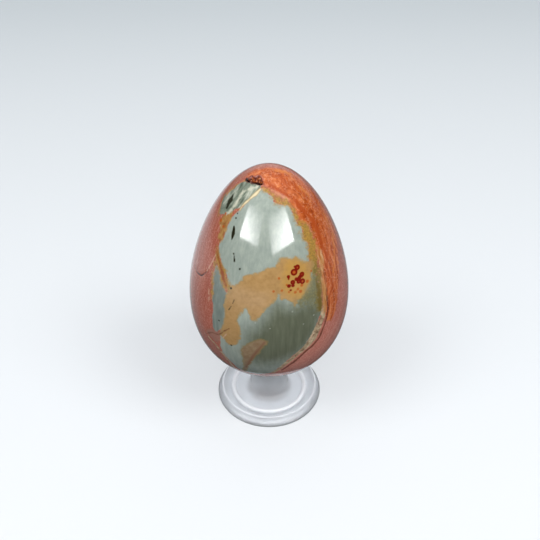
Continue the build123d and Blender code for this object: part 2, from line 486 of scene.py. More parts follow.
# %% Distances to outlines
def curve_through(points, closed, steps=5):
    """Smooth run of points through a few given ones."""
    points = np.asarray(points, dtype=float)
    count = len(points)
    rows = []
    for index in range(count if closed else count - 1):
        picks = [index - 1, index, index + 1, index + 2]
        picks = [pick % count if closed else min(max(pick, 0), count - 1) for pick in picks]
        before, start, end, after = points[picks]
        for share in np.arange(steps) / steps:
            rows.append(0.5 * (2 * start + (end - before) * share
                               + (2 * before - 5 * start + 4 * end - after) * share**2
                               + (3 * start - before - 3 * end + after) * share**3))
    if not closed:
        rows.append(points[-1])
    return np.array(rows)


def nearest(path, closed, reach):
    """For points of the egg within reach of a path, in mm: their numbers, distance and share of the path."""
    low, high = path.min(axis=0) - reach, path.max(axis=0) + reach
    chosen = np.flatnonzero(((egg_points > low) & (egg_points < high)).all(axis=1))
    spots = egg_points[chosen]
    best = np.full(len(chosen), np.inf)
    share = np.zeros(len(chosen))
    last = len(path) if closed else len(path) - 1
    for index in range(last):
        start, run = path[index], path[(index + 1) % len(path)] - path[index]
        along = np.clip((spots - start) @ run / max(run @ run, 1e-12), 0, 1)
        gap = ((spots - start - along[:, None] * run) ** 2).sum(axis=1)
        closer = gap < best
        best[closer] = gap[closer]
        share[closer] = (index + along[closer]) / last
    return chosen, np.sqrt(best), share


def inside(pixels, outline):
    """Which pixels lie inside a closed outline."""
    within = np.zeros(len(pixels), dtype=bool)
    for (x0, y0), (x1, y1) in zip(outline, np.roll(outline, -1, axis=0)):
        spans = (y0 > pixels[:, 1]) != (y1 > pixels[:, 1])
        if y0 != y1:
            within ^= spans & (pixels[:, 0] < (x1 - x0) * (pixels[:, 1] - y0) / (y1 - y0) + x0)
    return within


print("a square in five steps a side:", len(curve_through([(0, 0), (1, 0), (1, 1), (0, 1)], True)), "points")

# %% [markdown]
# ## Zones, strokes and dots
# Three kinds of marks are enough for the whole stone: a zone has a closed outline, a stroke is a line
# with a width at every point, and a dot is round. Each gives one number for each point of the egg, above
# zero inside the mark, and the mesh remembers it under a name.

# %% Zones, strokes and dots
def zone(outline, side=0, reach=6.0):
    """For each point of the egg, mm inside an outline of pixels; negative outside it, down to -reach."""
    outline = curve_through(outline, closed=True)
    path = land(outline, side)[0]
    values = np.full(len(egg_points), -reach)
    chosen, gap, _ = nearest(path, True, reach)
    values[chosen] = -np.minimum(gap, reach)
    seen = chosen[facing(side)[chosen]]
    held = seen[inside(to_pixels(egg_points[seen], side), outline)]
    values[held] = -values[held]
    return values


def stroke(points, side=0, reach=3.0):
    """For each point of the egg, mm inside a line of points (x, y, width) in pixels; negative outside."""
    line = curve_through(points, closed=False)
    path, met = land(line[:, :2], side)
    away = np.linalg.norm(path - turned(CAMERA_MM[None], side), axis=1)
    half = line[met, 2] / 2 * away / FOCAL_PX
    values = np.full(len(egg_points), -reach)
    chosen, gap, share = nearest(path, False, reach)
    values[chosen] = np.maximum(np.interp(share, np.linspace(0, 1, len(half)), half) - gap, -reach)
    return values


def dots(points, side=0):
    """For each point of the egg, mm inside the nearest of some round dots (x, y, radius), in pixels."""
    hair = 0.05
    rows = [stroke([(x - hair, y, 2 * size), (x + hair, y, 2 * size)], side) for x, y, size in points]
    return np.max(rows, axis=0)


def remember(name, *fields):
    """Stores the union of some fields on the egg under a name that its material reads."""
    values = np.max(fields, axis=0)
    egg.data.attributes.new(name, "FLOAT", "POINT").data.foreach_set("value", values.astype(np.float32))
    print(f"{name}: {int((values > 0).sum())} points inside")
    return values


middle = land(np.full((1, 2), FRAME_PX / 2), 0)[0]
pixel_mm = np.linalg.norm(middle - CAMERA_MM) / FOCAL_PX
print(f"a pixel in the middle of the picture covers {pixel_mm:.2f} mm of the egg")

# %% [markdown]
# ## The windows
# The large grey-green window is the heart of this side: clear, fine-grained quartz that lets a little
# light in. Its lower part is darker, partly in its own colour and partly as painted shade of the
# underside. A narrow strip of the same stone runs down on the left, and two more windows lie on the far
# side. Their distances reach far, because the bands of the rind follow their edges. For those bands the
# distances are also blended, so that no crease shows where two windows are equally near.

# %% Grey-green windows
WINDOW = [
    (262, 188.5), (268, 193), (272.6, 197), (274.5, 202), (281, 204.5), (288, 205), (291, 209),
    (295, 217), (298, 224.5), (302, 226.5), (303, 233.5), (305, 239), (308.5, 244), (309.3, 251),
    (309, 258), (311, 264), (313, 270.5), (317, 277), (318.5, 285.7), (318.5, 294.6), (321, 305),
    (321, 312), (318, 321.4), (314.5, 329), (310.5, 338), (305, 346), (297, 352.5), (289, 359),
    (282, 365.2), (276.5, 369.6), (271, 372.6), (262, 373.8), (252, 373), (246, 371.5), (237.5, 367.6),
    (228.5, 359), (221.5, 349.5), (220.5, 336), (222, 320), (224, 301), (227.5, 291), (227.3, 280.4),
    (225.3, 271.4), (221.1, 261.6), (219.3, 252), (220, 242), (223.5, 237.7), (225.6, 230.7),
    (228.4, 223.7), (231.9, 217.4), (236, 213.2), (241, 209), (248.8, 199.3), (256, 192.6),
]
# Lower part of the window: darker, partly its own colour and partly painted shade
DEEP_SHADED_WINDOW = [
    (258, 326), (275, 302), (288, 307), (300, 304), (313, 300), (322, 307), (320, 325), (311, 342),
    (295, 356), (275, 363), (258, 363), (247, 357), (245, 347), (246, 338), (250, 331),
]
LEFT_STRIP = [
    (216.6, 265), (219, 269.6), (222, 279.5), (224.5, 288.4), (227, 295.5), (226, 301.8),
    (225, 312.5), (224, 320.5), (221, 328.6), (216.6, 331.2), (213.5, 327.7), (212.6, 319.6), (213, 308),
    (212.3, 298), (213, 287.5), (212.8, 277), (214.4, 269.6),
]
BACK_WINDOW = [
    (240, 215), (252, 206), (266, 203), (277, 210), (283, 222), (290, 233), (293, 247), (288, 262),
    (291, 277), (286, 293), (277, 306), (262, 313), (247, 309), (236, 297), (229, 281), (231, 264),
    (226, 249), (229, 231),
]
SIDE_WINDOW = [
    (259, 258), (264, 262), (270, 254), (279, 260), (276, 270), (284, 279), (280, 291), (284, 303),
    (274, 309), (271, 324), (264, 316), (266, 304), (257, 296), (260, 283), (254, 272),
]
BACK_DEEP_SHADED = [(247, 262), (262, 252), (280, 262), (284, 285), (270, 305), (250, 303), (240, 285)]
FAR = 60.0
LAYER_BLEND = 4.0

windows = [zone(WINDOW, reach=FAR), zone(LEFT_STRIP, reach=FAR),
           zone(BACK_WINDOW, side=180, reach=FAR), zone(SIDE_WINDOW, side=104, reach=FAR)]
remember("window", *windows)
remember("layers", LAYER_BLEND * np.log(sum(np.exp(field / LAYER_BLEND) for field in windows)))
remember("far_window", zone(BACK_WINDOW, side=180), zone(SIDE_WINDOW, side=104))
remember("deep_and_shaded", zone(DEEP_SHADED_WINDOW, reach=FAR), zone(BACK_DEEP_SHADED, side=180, reach=FAR))
remember("strip", zone(LEFT_STRIP))

# %% [markdown]
# ## Patches in and beside the windows
# Tan patches with an ochre rim float in the window like islands. Iron has stained one of them, round a
# cluster of small red rings. A fringe of ochre and a rust-coloured patch lie along the edge of the
# window. A noise could scatter such islands, but these have known places, so each has its outline, and
# the narrow ones are strokes.

# %% Tan and ochre patches
TAN_PATCH = [
    (230, 288.4), (233.6, 285.7), (239, 282), (242.5, 277.7), (248, 274.1), (256.8, 273.7),
    (260.4, 271.4), (267.5, 268.3), (274.4, 266.7), (278, 262), (280.4, 258), (285.7, 256.7),
    (289.3, 259), (293, 257.5), (296.4, 256), (300, 259.8), (307, 261.6), (311.6, 259), (314, 264),
    (312.5, 270), (311.2, 275), (309.8, 281.3), (307, 289.3), (303.6, 293.8), (299, 300), (295.5, 306.2),
    (292, 302.7), (285.7, 299), (280.4, 300), (279.5, 295.5), (276.8, 298.2), (274, 302.7), (268.8, 307),
    (263.4, 311.6), (259, 318), (255.2, 321.4), (250.5, 318.8), (248, 312.5), (245.2, 309),
    (242.5, 311.6), (239, 318), (238, 322.3), (239.8, 327.7), (241.2, 335.7), (238, 343), (232.7, 345.5),
    (228.2, 344.6), (224.6, 339.5), (219.3, 333), (222, 326.8), (223.8, 319.6), (223.8, 307),
    (224.6, 300), (226.4, 294.6),
]
LOWER_TAN = [
    (242.5, 348.2), (248, 344.6), (255, 341), (260.4, 339.7), (266.6, 342), (262, 347.3), (256, 354.5),
    (251.4, 360.7), (247, 367), (245, 371.5), (243.6, 369), (244.3, 362.5), (242.9, 355.4),
]
BACK_TAN = [
    (229, 262), (237, 266), (243, 258), (252, 261), (258, 251), (266, 254), (272, 245), (282, 248),
    (291, 255), (284, 266), (276, 268), (270, 281), (262, 283), (258, 299), (250, 306), (247, 293),
    (238, 288), (234, 275),
]
STAIN = [
    (286, 262), (294, 259), (302, 262), (308, 270), (310, 280), (306, 290), (300, 297), (292, 297),
    (285, 292), (283, 283), (284, 272),
]
OCHRE_FRINGE = [
    (263, 187), (268, 190.5), (275, 194.5), (283, 199), (289.5, 203.5), (293, 208), (297, 215.5),
    (300.5, 221.5), (306, 223.5), (309.5, 228), (312.5, 234), (315, 240.5), (315.5, 248), (316.5, 256),
    (317.5, 265), (320.5, 273), (321.5, 280), (320.5, 287), (321.5, 294), (321.5, 302), (322, 309),
    (319.5, 309), (317.5, 300), (316.6, 293), (318.3, 285), (316.5, 277.5), (312, 271), (310, 263),
    (308, 257), (308, 250), (307, 244), (304, 239.5), (302, 233.5), (301, 227), (297.5, 224.5),
    (294, 217), (290.5, 209.5), (287, 205.5), (281, 205), (275, 203), (273.5, 198), (268.5, 194),
    (263, 190),
]
OCHRE_LINE = [
    (246, 181, 1.6), (239, 184.5, 2.2), (232.5, 189, 2.4), (226.5, 194.5, 2), (222.5, 201, 1.6),
    (220.5, 208, 1.4), (218.5, 215, 1.4),
]
OCHRE_HALO = [
    (215.7, 249, 3), (217.5, 257, 5), (220, 266, 6.5), (222.5, 273, 8.4), (224.5, 280, 9),
    (226.5, 286, 8), (228.5, 291, 6),
]
OLIVE = [
    (291, 299), (300, 291), (306, 285), (309, 276), (311, 264), (318, 266), (322, 280), (323, 296),
    (321, 310), (314, 306), (306, 303), (298, 305),
]
OLIVE_LINE = [(316, 279, 1), (317.8, 286, 2.6), (318.8, 294, 4), (319.8, 302, 4.6), (320.5, 309, 3)]
STRIP_FRINGE = [(215.5, 264, 1.6), (213, 275, 2.6), (212, 287, 3), (211.8, 297, 2)]
RUST_PATCH = [
    (223, 215), (228, 213.5), (232, 212), (231, 219), (228, 224), (226.5, 229), (224.5, 235),
    (221.5, 241), (218.8, 242), (218.5, 236), (220, 229), (219.5, 222),
]

remember("tan", zone(TAN_PATCH), zone(BACK_TAN, side=180))
remember("grey_tan", zone(LOWER_TAN))
remember("stain", zone(STAIN))
remember("olive", zone(OLIVE))
remember("olive_line", stroke(OLIVE_LINE))
remember("ochre", zone(OCHRE_FRINGE), stroke(OCHRE_LINE), stroke(OCHRE_HALO), stroke(STRIP_FRINGE))
remember("rust", zone(RUST_PATCH))

# %% [markdown]
# ## The red-orange band
# A band of iron-rich jasper runs over the top of the egg and down its right side, with amber flames in it
# and a streak of deep red along its inner edge. It fades out to the upper left in a soft brown. The band
# is one zone, and the flames and streaks are strokes on top of it, because they have soft ends that an
# outline would cut off.

# %% Red-orange band
ORANGE_BAND = [
    (262, 181), (266.3, 185.8), (274, 190), (283, 195), (288.5, 198.6), (291, 204.5), (296, 209.6),
    (298, 216.5), (300.5, 222), (304, 222.5), (308.5, 223.7), (311.5, 231.4), (313.5, 239), (315.5, 246),
    (317, 254), (318.5, 262), (320.5, 273), (322, 285), (323, 298), (324.5, 310), (326, 319), (332, 319),
    (336, 308), (337.5, 296), (338.3, 287), (338.5, 276), (338.2, 263), (337.6, 250), (336.2, 237),
    (333.8, 227), (329.2, 217.4), (323.4, 207.5), (315, 195), (303, 181), (290.2, 172), (279.6, 168.5),
    (267, 168.2), (257.2, 169), (249, 173), (246, 177), (252, 175.6), (262, 175.8),
]
BACK_ORANGE = [
    (205, 228), (214, 207), (228, 192), (244, 184), (252, 190), (246, 203), (235, 213), (226, 229),
    (222, 247), (226, 263), (224, 281), (216, 291), (208, 280), (203, 256),
]
AMBER = [
    [(276, 171, 3), (283, 171.5, 4), (290, 174, 3)],
    [(299, 186, 2.5), (304, 190.5, 3.5), (308, 196, 2.5)],
    [(323, 213, 2), (327, 220, 3), (330, 228, 2.5)],
    [(332.5, 234, 2.5), (334, 245, 3), (334.5, 258, 2.5), (333.5, 272, 2)],
]
RED_STREAK = [
    (295.5, 200.5, 4), (299, 206, 6), (305, 212, 4), (310.5, 217.4, 4.5), (315.4, 225.8, 6),
    (319.6, 237, 5.5), (323.2, 248.2, 4.5), (326.7, 255.3, 3.5), (326.8, 263.4, 3), (329, 275, 2.6),
    (333, 286.6, 2.4), (330.4, 292, 2.2), (328.6, 305.4, 2),
]
RED_TOP = [(268, 183, 2), (275, 187.5, 3), (282, 192, 3.6), (288.5, 196.5, 3)]
SALMON_LINE = [(272, 190.5, 1), (278, 193.7, 2.2), (283.5, 197, 2.4), (288, 199.5, 1.4)]
RED_THREAD = [(335.7, 250, 1), (335.7, 261.6, 1.8), (336.2, 273.2, 1.8), (336.6, 279.5, 1)]
BROWN_TOP = [(252, 171.5, 3), (244, 175, 6), (236, 180.5, 8), (229, 187, 8), (223, 195, 6), (218, 204, 3)]
LEFT_VEIN = [
    (216.5, 251, 1.2), (218.6, 259, 1.6), (220.6, 267, 2.4), (222.6, 274, 4), (224, 280, 3.4),
    (226, 286, 1.8),
]

remember("orange", zone(ORANGE_BAND), zone(BACK_ORANGE, side=180))
remember("amber", *[stroke(flame) for flame in AMBER])
remember("red", stroke(RED_STREAK), stroke(RED_TOP), stroke(RED_THREAD))
remember("salmon", stroke(SALMON_LINE))
remember("brown_top", stroke(BROWN_TOP))
remember("left_vein", stroke(LEFT_VEIN))

# %% [markdown]
# ## Agate lens and crystal pocket
# At the upper left lies a lens of dark, streaky agate. Beside it the stone has a small natural hollow,
# where quartz crystals could grow. The streaks of the agate are drawn one by one, because there are so
# few of them.

# %% Agate lens and crystal pocket
AGATE = [
    (246, 181.6), (240.4, 183), (234.7, 188), (228.4, 193.5), (223.5, 199.8), (221.4, 207.5),
    (219.6, 213.9), (223.5, 214.4), (228.4, 213.9), (234.7, 209.6), (240.4, 207.5), (246, 201.9),
    (253.7, 195.6), (260, 189.3), (260.7, 185.3), (253, 183.7),
]
AGATE_DARK = [
    [(233.8, 193.5, 2), (230.2, 200.5, 5.5), (226.7, 207.5, 2.5)], [(239.1, 199.8, 2), (240.1, 199.8, 2)],
]
AGATE_LIGHT = [
    [(243.5, 190.4, 1.5), (236.1, 203.3, 3.2), (228.4, 212.5, 1.6)],
    [(257.2, 186.5, 2.4), (250.2, 188.6, 4.2), (243.5, 191.4, 2)],
    [(227, 212.5, 2.6), (228.2, 212.5, 2.6)],
]
AGATE_EDGE = [(225.5, 194.9, 2), (222.4, 203, 3), (220.5, 212, 2)]
POCKET = [
    (246, 181), (246.4, 178.2), (249.4, 177.4), (251.8, 175.4), (254.8, 176.6), (257.6, 174.8),
    (260.6, 176.4), (261.8, 179), (263.6, 182), (262.8, 184.8), (259.3, 185.6), (256, 184),
    (252.6, 183.4), (250.4, 181.4), (248, 182.8),
]
# Painted shade in the hollow: along its lower edge and at its left end
POCKET_PAINTED_SHADE = [
    [(246.4, 178.6, 2.4), (247.6, 180.6, 3), (249.4, 181.8, 2.4)],
    [(252.8, 182, 2.4), (257, 182.8, 4.2), (262, 184.2, 2.6)],
]

remember("agate", zone(AGATE))
remember("agate_dark", *[stroke(streak) for streak in AGATE_DARK])
remember("agate_light", *[stroke(streak) for streak in AGATE_LIGHT])
remember("agate_edge", stroke(AGATE_EDGE))
pocket = remember("pocket", zone(POCKET))
pocket_painted_shade = remember("pocket_painted_shade", *[stroke(shadow) for shadow in POCKET_PAINTED_SHADE])

# %% [markdown]
# ## Veins
# Long after the stone had formed it cracked, and the cracks filled with pale quartz, with beige clay and
# with brown iron oxide. A texture of cells makes cracks quickly, but everywhere alike. These are few and
# each has its own course, so each vein is a line with a width at every point.

# %% Veins
CREAM_DIAGONAL = [
    (260.4, 188.9, 1.4), (256.3, 193.2, 2.6), (251.8, 197.2, 2.4), (248.4, 200.2, 1.4), (243, 205.4, 0.9),
    (240, 209.6, 0.7),
]
PALE_CRACK = [(206.8, 271.4, 0.8), (210.4, 265.2, 1.4), (213.9, 258, 1.4), (215.7, 254.5, 0.8)]
PALE_DASHES = [
    [(208.6, 287, 1), (208.8, 294, 1.8)], [(209.2, 297, 1.6), (208.6, 302, 1)],
    [(220.7, 224.7, 1.2), (217.5, 230.7, 0.8)], [(226.5, 334, 1), (223, 338, 1.2)],
    [(313.5, 333, 1), (310.5, 337.5, 1.4), (306.5, 342, 1)],
]
SAND_PATCH = [(317, 246, 2), (319.5, 252, 5), (321, 258, 7), (322, 264, 6), (323, 270, 3)]
SAND_RIGHT = [(322, 278, 2), (324.2, 287, 4.5), (325, 296, 5.5), (325, 304, 5.5), (324.6, 311, 4)]
BEIGE_RIGHT = [
    (323.8, 306, 4), (323.6, 311, 6), (322.5, 317, 7), (319.5, 324, 8), (316.5, 331, 9), (313, 338, 9),
    (308, 344.5, 7), (300.5, 351.5, 5), (293, 358, 4.2), (286, 363.5, 3.6), (279.5, 368.8, 3.2),
    (273, 372.4, 2.4),
]
BEIGE_LOW_LEFT = [
    (208.6, 336.6, 1.4), (215.7, 344.6, 2.8), (221, 351.5, 2.8), (227.5, 359.5, 2.8), (234.5, 367.9, 2.2),
]
BACK_BEIGE = [
    (292, 205, 1), (301, 222, 4), (298, 240, 2), (305, 258, 5), (300, 274, 3), (304, 290, 6),
    (295, 306, 3), (283, 319, 6), (266, 322, 3), (250, 331, 5), (236, 322, 1.5),
]
BROWN_RIGHT = [
    (326.8, 288, 1.4), (327, 300, 1.6), (327.8, 307, 1.8), (327, 314.3, 2), (324.8, 323, 2.2),
    (322, 331, 2.4), (318.2, 338.8, 2.6), (312.6, 345.4, 3), (307.3, 350, 3), (300, 356.4, 2.8),
    (294.6, 361.4, 2.8), (288.4, 365.6, 2.4), (282, 370, 2),
]
BROWN_LOOP = [(320, 318.5, 1), (324, 319.5, 1), (322.5, 324, 1), (318.5, 324.5, 1), (319.5, 320, 1)]
LOW_VEIN = [(264.5, 342.5, 1.4), (259.5, 348.5, 2), (254, 355, 2.4), (250, 361, 2.2), (246.5, 367, 1.6)]
MAUVE_LINE = [
    (206.8, 333.5, 0.9), (212, 332.5, 1.2), (218.4, 334.5, 1.2), (223.8, 331.2, 1.1), (229.1, 328.6, 0.8),
]
MAUVE_EDGE = [(200.5, 324, 1), (206.8, 335.7, 2), (212, 343.5, 2), (217.5, 350, 2.2), (224, 358.5, 1.4)]
MAUVE_PATCH = [
    (206, 331), (212, 329), (217, 331.5), (222, 330), (230, 326.5), (231, 329.5), (225, 333), (221, 337),
    (219, 342), (215, 341), (211, 337),
]
BACK_BROWN = [
    (296, 205, 1), (305, 222, 2), (302, 240, 1.4), (310, 258, 2), (304, 275, 1.6), (309, 292, 2.4),
    (299, 309, 2),
]

remember("cream", stroke(CREAM_DIAGONAL))
remember("pale", stroke(PALE_CRACK), *[stroke(dash) for dash in PALE_DASHES])
remember("sand", stroke(SAND_PATCH), stroke(SAND_RIGHT))
remember("beige", stroke(BEIGE_RIGHT), stroke(BEIGE_LOW_LEFT), stroke(BACK_BEIGE, side=180))
remember("mauve", zone(MAUVE_PATCH), stroke(MAUVE_EDGE))
remember("low_vein", stroke(LOW_VEIN))
remember("brown", stroke(BROWN_RIGHT), stroke(BROWN_LOOP), stroke(MAUVE_LINE), stroke(BACK_BROWN, side=180))

# %% [markdown]
# ## Small marks
# Last come the marks of a millimetre or less: the red rings with orange middles, drops of red and orange,
# black dots of manganese, white specks, and one open crack that starts at the left edge. The eye goes to
# the cluster of rings first, so they have their own places and sizes and aren't left to chance.

# %% Small marks
RINGS = [
    (297.4, 267.4, 2.9), (294.1, 272.2, 3.7), (302, 274.3, 2.8), (299.4, 277.6, 2.3), (302.5, 281.2, 2.9),
    (298.8, 281.6, 2.3), (292.8, 282.3, 2.6),
]
RED_BLOBS = [
    (288.4, 276.8, 1.9), (288.6, 279.4, 1), (296.4, 279.1, 2.2), (289.1, 286, 2), (293, 285.6, 1.7),
    (290.7, 290.2, 1.3), (294.9, 266.8, 1.5),
]
ORANGE_BLOBS = [
    (307.3, 281.2, 1.7), (281.9, 290.6, 1.3), (279, 278.5, 1.2), (273.6, 291.5, 1.2), (295.3, 292.3, 1.6),
    (300.6, 291.3, 1.8), (297.9, 289, 1.4), (286.8, 285, 1.2), (289.1, 291.9, 1.2), (301.8, 285.2, 1.6),
    (311.2, 271, 1.2), (220.8, 220.2, 2), (223.5, 226.4, 1.6), (225.6, 213.5, 1.4),
]
BLACK_LINES = [
    [(234, 226.5, 1.6), (233.4, 232, 4.2), (232.6, 236, 3.4), (231.9, 239.5, 1.2)],
    [(234, 256, 1), (234.6, 261.5, 1.8)], [(234.3, 299.5, 1.1), (232.7, 303.6, 1)],
    [(231.3, 306, 1), (228.7, 309.8, 1)],
]
BLACK_DOTS = [
    (236, 218, 0.9), (237.6, 213.5, 1), (233.6, 253.6, 0.8), (239.8, 269, 1.1), (218.8, 320.5, 1),
    (231, 288.4, 1.1), (231.3, 345.3, 1),
]
WHITE_SPECKS = [
    (292.4, 311.6, 0.9), (313.8, 315, 0.9), (303.6, 324, 0.8), (270, 328.6, 0.7), (255.4, 323, 0.7),
]
CRACK = [
    (194.7, 264.3, 1), (196, 270.5, 1.3), (198.3, 273.7, 1.6), (201.4, 275.4, 1.6), (204.1, 273.7, 1.3),
    (206.8, 271.4, 0.8),
]
BACK_RINGS = [
    (276, 256, 2.6), (281, 259, 2.2), (272, 262, 2.8), (277.5, 264.5, 1.8), (267.5, 268, 2.2),
    (271.5, 272, 1.6), (283.5, 252.5, 1.2), (264, 276, 1.2),
]

remember("rings", dots(RINGS), dots(BACK_RINGS, side=180))
remember("red_blobs", dots(RED_BLOBS))
remember("orange_blobs", dots(ORANGE_BLOBS))
remember("black", *[stroke(line) for line in BLACK_LINES], dots(BLACK_DOTS))
remember("specks", dots(WHITE_SPECKS))
crack = remember("crack", stroke(CRACK))

# %% [markdown]
# ## Relief
# Polishing leaves the hollow and the open crack below the surface. A bump in the material would not
# change how light falls into them, so the points of the mesh themselves move inwards.

# %% Relief
POCKET_DEPTH = 1.0
POCKET_SLOPE = 0.6
CRACK_DEPTH = 0.2
CRACK_SLOPE = (-0.2, 0.3)


def eased(values, start, end):
    """Shares from 0 to 1 where values run from start to end, with a soft beginning and end."""
    share = np.clip((values - start) / (end - start), 0, 1)
    return share * share * (3 - 2 * share)


sunk = POCKET_DEPTH * eased(pocket, 0.0, POCKET_SLOPE) + CRACK_DEPTH * eased(crack, *CRACK_SLOPE)
sunk_points = (egg_points - egg_normals * sunk[:, None]) * MM
egg.data.vertices.foreach_set("co", sunk_points.astype(np.float32).ravel())
egg.data.update()
print(f"{int((sunk > 0.01).sum())} points lie lower, the deepest by {sunk.max():.2f} mm")

# %% [markdown]
# ## Jasper: tools for a natural pattern
# Polished jasper is fine-grained quartz, coloured by iron. It shows its colours as if wet, under a clear,
# even gloss. The material stacks the zones from the rind up to the smallest marks. No natural edge is a
# drawn line, so a noise of about a millimetre sets the edge of every zone wandering. Every tone is a ramp
# of colours read by a noise, and the sizes of the noises are written in millimetres.

# %% Tools for the jasper
jasper.use_nodes = True
tree = jasper.node_tree
tree.nodes.clear()
place = add(tree, "ShaderNodeTexCoord").outputs["Object"]
axes = add(tree, "ShaderNodeSeparateXYZ", {0: place}).outputs


def grain(size_mm, detail=3.0, rough=0.55, vector=None):
    """Noise about zero whose lumps are about this size."""
    settings = {"Vector": vector or place, "Scale": 1 / (size_mm * MM), "Detail": detail, "Roughness": rough}
    noise = add(tree, "ShaderNodeTexNoise", settings).outputs["Fac"]
    return add(tree, "ShaderNodeMath", {0: noise, 1: 0.5}, operation="SUBTRACT").outputs[0]


def streaks(across_mm, along_mm, measure, detail=3.0):
    """Noise drawn out along lines of equal measure, which is in mm."""
    across = add(tree, "ShaderNodeMath", {0: measure, 1: MM}, operation="MULTIPLY").outputs[0]
    shrink = across_mm / along_mm
    sideways = add(tree, "ShaderNodeMath", {0: axes["X"], 1: shrink}, operation="MULTIPLY").outputs[0]
    upwards = add(tree, "ShaderNodeMath", {0: axes["Z"], 1: shrink}, operation="MULTIPLY").outputs[0]
    drawn = add(tree, "ShaderNodeCombineXYZ", {"X": across, "Y": sideways, "Z": upwards}).outputs[0]
    return grain(across_mm, detail, vector=drawn)


def tone(noise, spread, stops):
    """Colours of a ramp whose middle is where a noise is zero."""
    spot = add(tree, "ShaderNodeMath", {0: noise, 1: spread, 2: 0.5}, operation="MULTIPLY_ADD").outputs[0]
    return add(tree, "ShaderNodeValToRGB", {0: spot}, stops=stops).outputs[0]


def within(name, wander=0.3, soft=0.2, shift=0.0, most=1.0):
    """Share, from 0 to most, by which a place lies in a zone, whose edge wanders and is soft, in mm."""
    field = add(tree, "ShaderNodeAttribute", attribute_name=name).outputs["Fac"]
    moved = {0: edge_noise, 1: wander * 4, 2: field}
    moved = add(tree, "ShaderNodeMath", moved, operation="MULTIPLY_ADD").outputs[0]
    settings = {"Value": moved, 1: -soft - shift, 2: soft - shift, 4: most}
    return add(tree, "ShaderNodeMapRange", settings, interpolation_type="SMOOTHSTEP").outputs[0]


def lay(skin, above, name, **edge):
    """A skin of colours with another colour laid over it within a zone."""
    coat = {0: within(name, **edge), 6: skin, 7: above}
    return add(tree, "ShaderNodeMix", coat, data_type="RGBA").outputs[2]


edge_noise = grain(1.3, detail=4)
fine_noise = grain(0.5)
broad_noise = grain(8.0, detail=2)
print("ground work of", len(tree.nodes), "nodes")

# %% [markdown]
# ## Rind
# Outside the windows the stone is a brown-rose rind. Its fine bands run alongside the window's edge, as
# layers do that grew outwards from it. So the noise of the bands is drawn out along lines that keep the
# same distance from the window, and that distance is what the mesh remembers. Low on the right the rind
# is paler, partly in its own colour and partly as painted light from that side. On the far side the bands
# are bent by a broad noise, as in a stone that was folded, and parts of them are tan or mauve.

# %% Rind
FAR_SIDE_FULL = 12 * MM
NEAR_BEND = 8.0
FAR_BEND = 34.0
FADE_TOP = 66 * MM
FADE_LOW = 34 * MM
FADE_SIDE = 6 * MM
window_field = add(tree, "ShaderNodeAttribute", attribute_name="window").outputs["Fac"]
layers = add(tree, "ShaderNodeAttribute", attribute_name="layers").outputs["Fac"]
far_side = add(tree, "ShaderNodeMapRange", {"Value": axes["Y"], 1: 0.0, 2: FAR_SIDE_FULL}).outputs[0]
far_bend = add(tree, "ShaderNodeMapRange", {"Value": far_side, 3: NEAR_BEND, 4: FAR_BEND}).outputs[0]
bent = {0: grain(13, detail=2), 1: far_bend, 2: layers}
rind_measure = add(tree, "ShaderNodeMath", bent, operation="MULTIPLY_ADD").outputs[0]
rind_bands = streaks(2.6, 22, rind_measure)
rind_lines = streaks(0.7, 9, rind_measure, detail=2)
rind_broad = tone(rind_bands, 1.6, [(0.1, "8C3C26"), (0.38, "A8523C"), (0.62, "B46450"), (0.9, "C88C78")])
rind_fine = tone(rind_lines, 1.8, [(0.15, "7E3A26"), (0.5, "AC5944"), (0.85, "CC927C")])
skin = add(tree, "ShaderNodeMix", {0: 0.4, 6: rind_broad, 7: rind_fine}, data_type="RGBA").outputs[2]
rind_patches = add(tree, "ShaderNodeMapRange", {"Value": broad_noise, 1: 0.04, 2: 0.2, 4: 0.45}).outputs[0]
patched = {0: rind_patches, 6: skin, 7: colour("A8603C")}
skin = add(tree, "ShaderNodeMix", patched, data_type="RGBA").outputs[2]
# Paler low on the right: partly the rind's own colour, partly painted light from the right
rind_low = add(tree, "ShaderNodeMapRange", {"Value": axes["Z"], 1: FADE_TOP, 2: FADE_LOW, 4: 0.8}).outputs[0]
rind_right = {"Value": axes["X"], 1: -FADE_SIDE, 2: FADE_SIDE, 3: 0.22}
rind_right = add(tree, "ShaderNodeMapRange", rind_right).outputs[0]
rind_share = add(tree, "ShaderNodeMath", {0: rind_low, 1: rind_right}, operation="MULTIPLY").outputs[0]
rind_pale_and_painted_light = tone(rind_lines, 0.7, [(0.15, "BA7262"), (0.5, "EC9C8C"), (0.85, "F8C8BA")])
pale_and_painted_light = {0: rind_share, 6: skin, 7: rind_pale_and_painted_light}
skin = add(tree, "ShaderNodeMix", pale_and_painted_light, data_type="RGBA").outputs[2]
far_noise = grain(12, detail=3)
far_tan = tone(rind_lines, 1.8, [(0.15, "8A6844"), (0.5, "AE885A"), (0.85, "CCAE88")])
far_mauve = tone(rind_lines, 1.8, [(0.15, "6E4A48"), (0.5, "987068"), (0.85, "BE9C92")])
for far_tone, start, full in ((far_tan, 0.05, 0.08), (far_mauve, -0.06, -0.1)):
    far_share = add(tree, "ShaderNodeMapRange", {"Value": far_noise, 1: start, 2: full, 4: 0.85}).outputs[0]
    far_share = add(tree, "ShaderNodeMath", {0: far_share, 1: far_side}, operation="MULTIPLY").outputs[0]
    skin = add(tree, "ShaderNodeMix", {0: far_share, 6: skin, 7: far_tone}, data_type="RGBA").outputs[2]
mottle_noise = grain(0.5, detail=4, rough=0.75)
rind_mottle = tone(mottle_noise, 2.4, [(0.15, "662C1E"), (0.5, "A05440"), (0.85, "D4A494")])
mottled = {0: 0.35, 6: skin, 7: rind_mottle}
skin = add(tree, "ShaderNodeMix", mottled, data_type="RGBA").outputs[2]
skin = lay(skin, colour("9A7262"), "mauve", wander=0.4, soft=0.5, most=0.75)
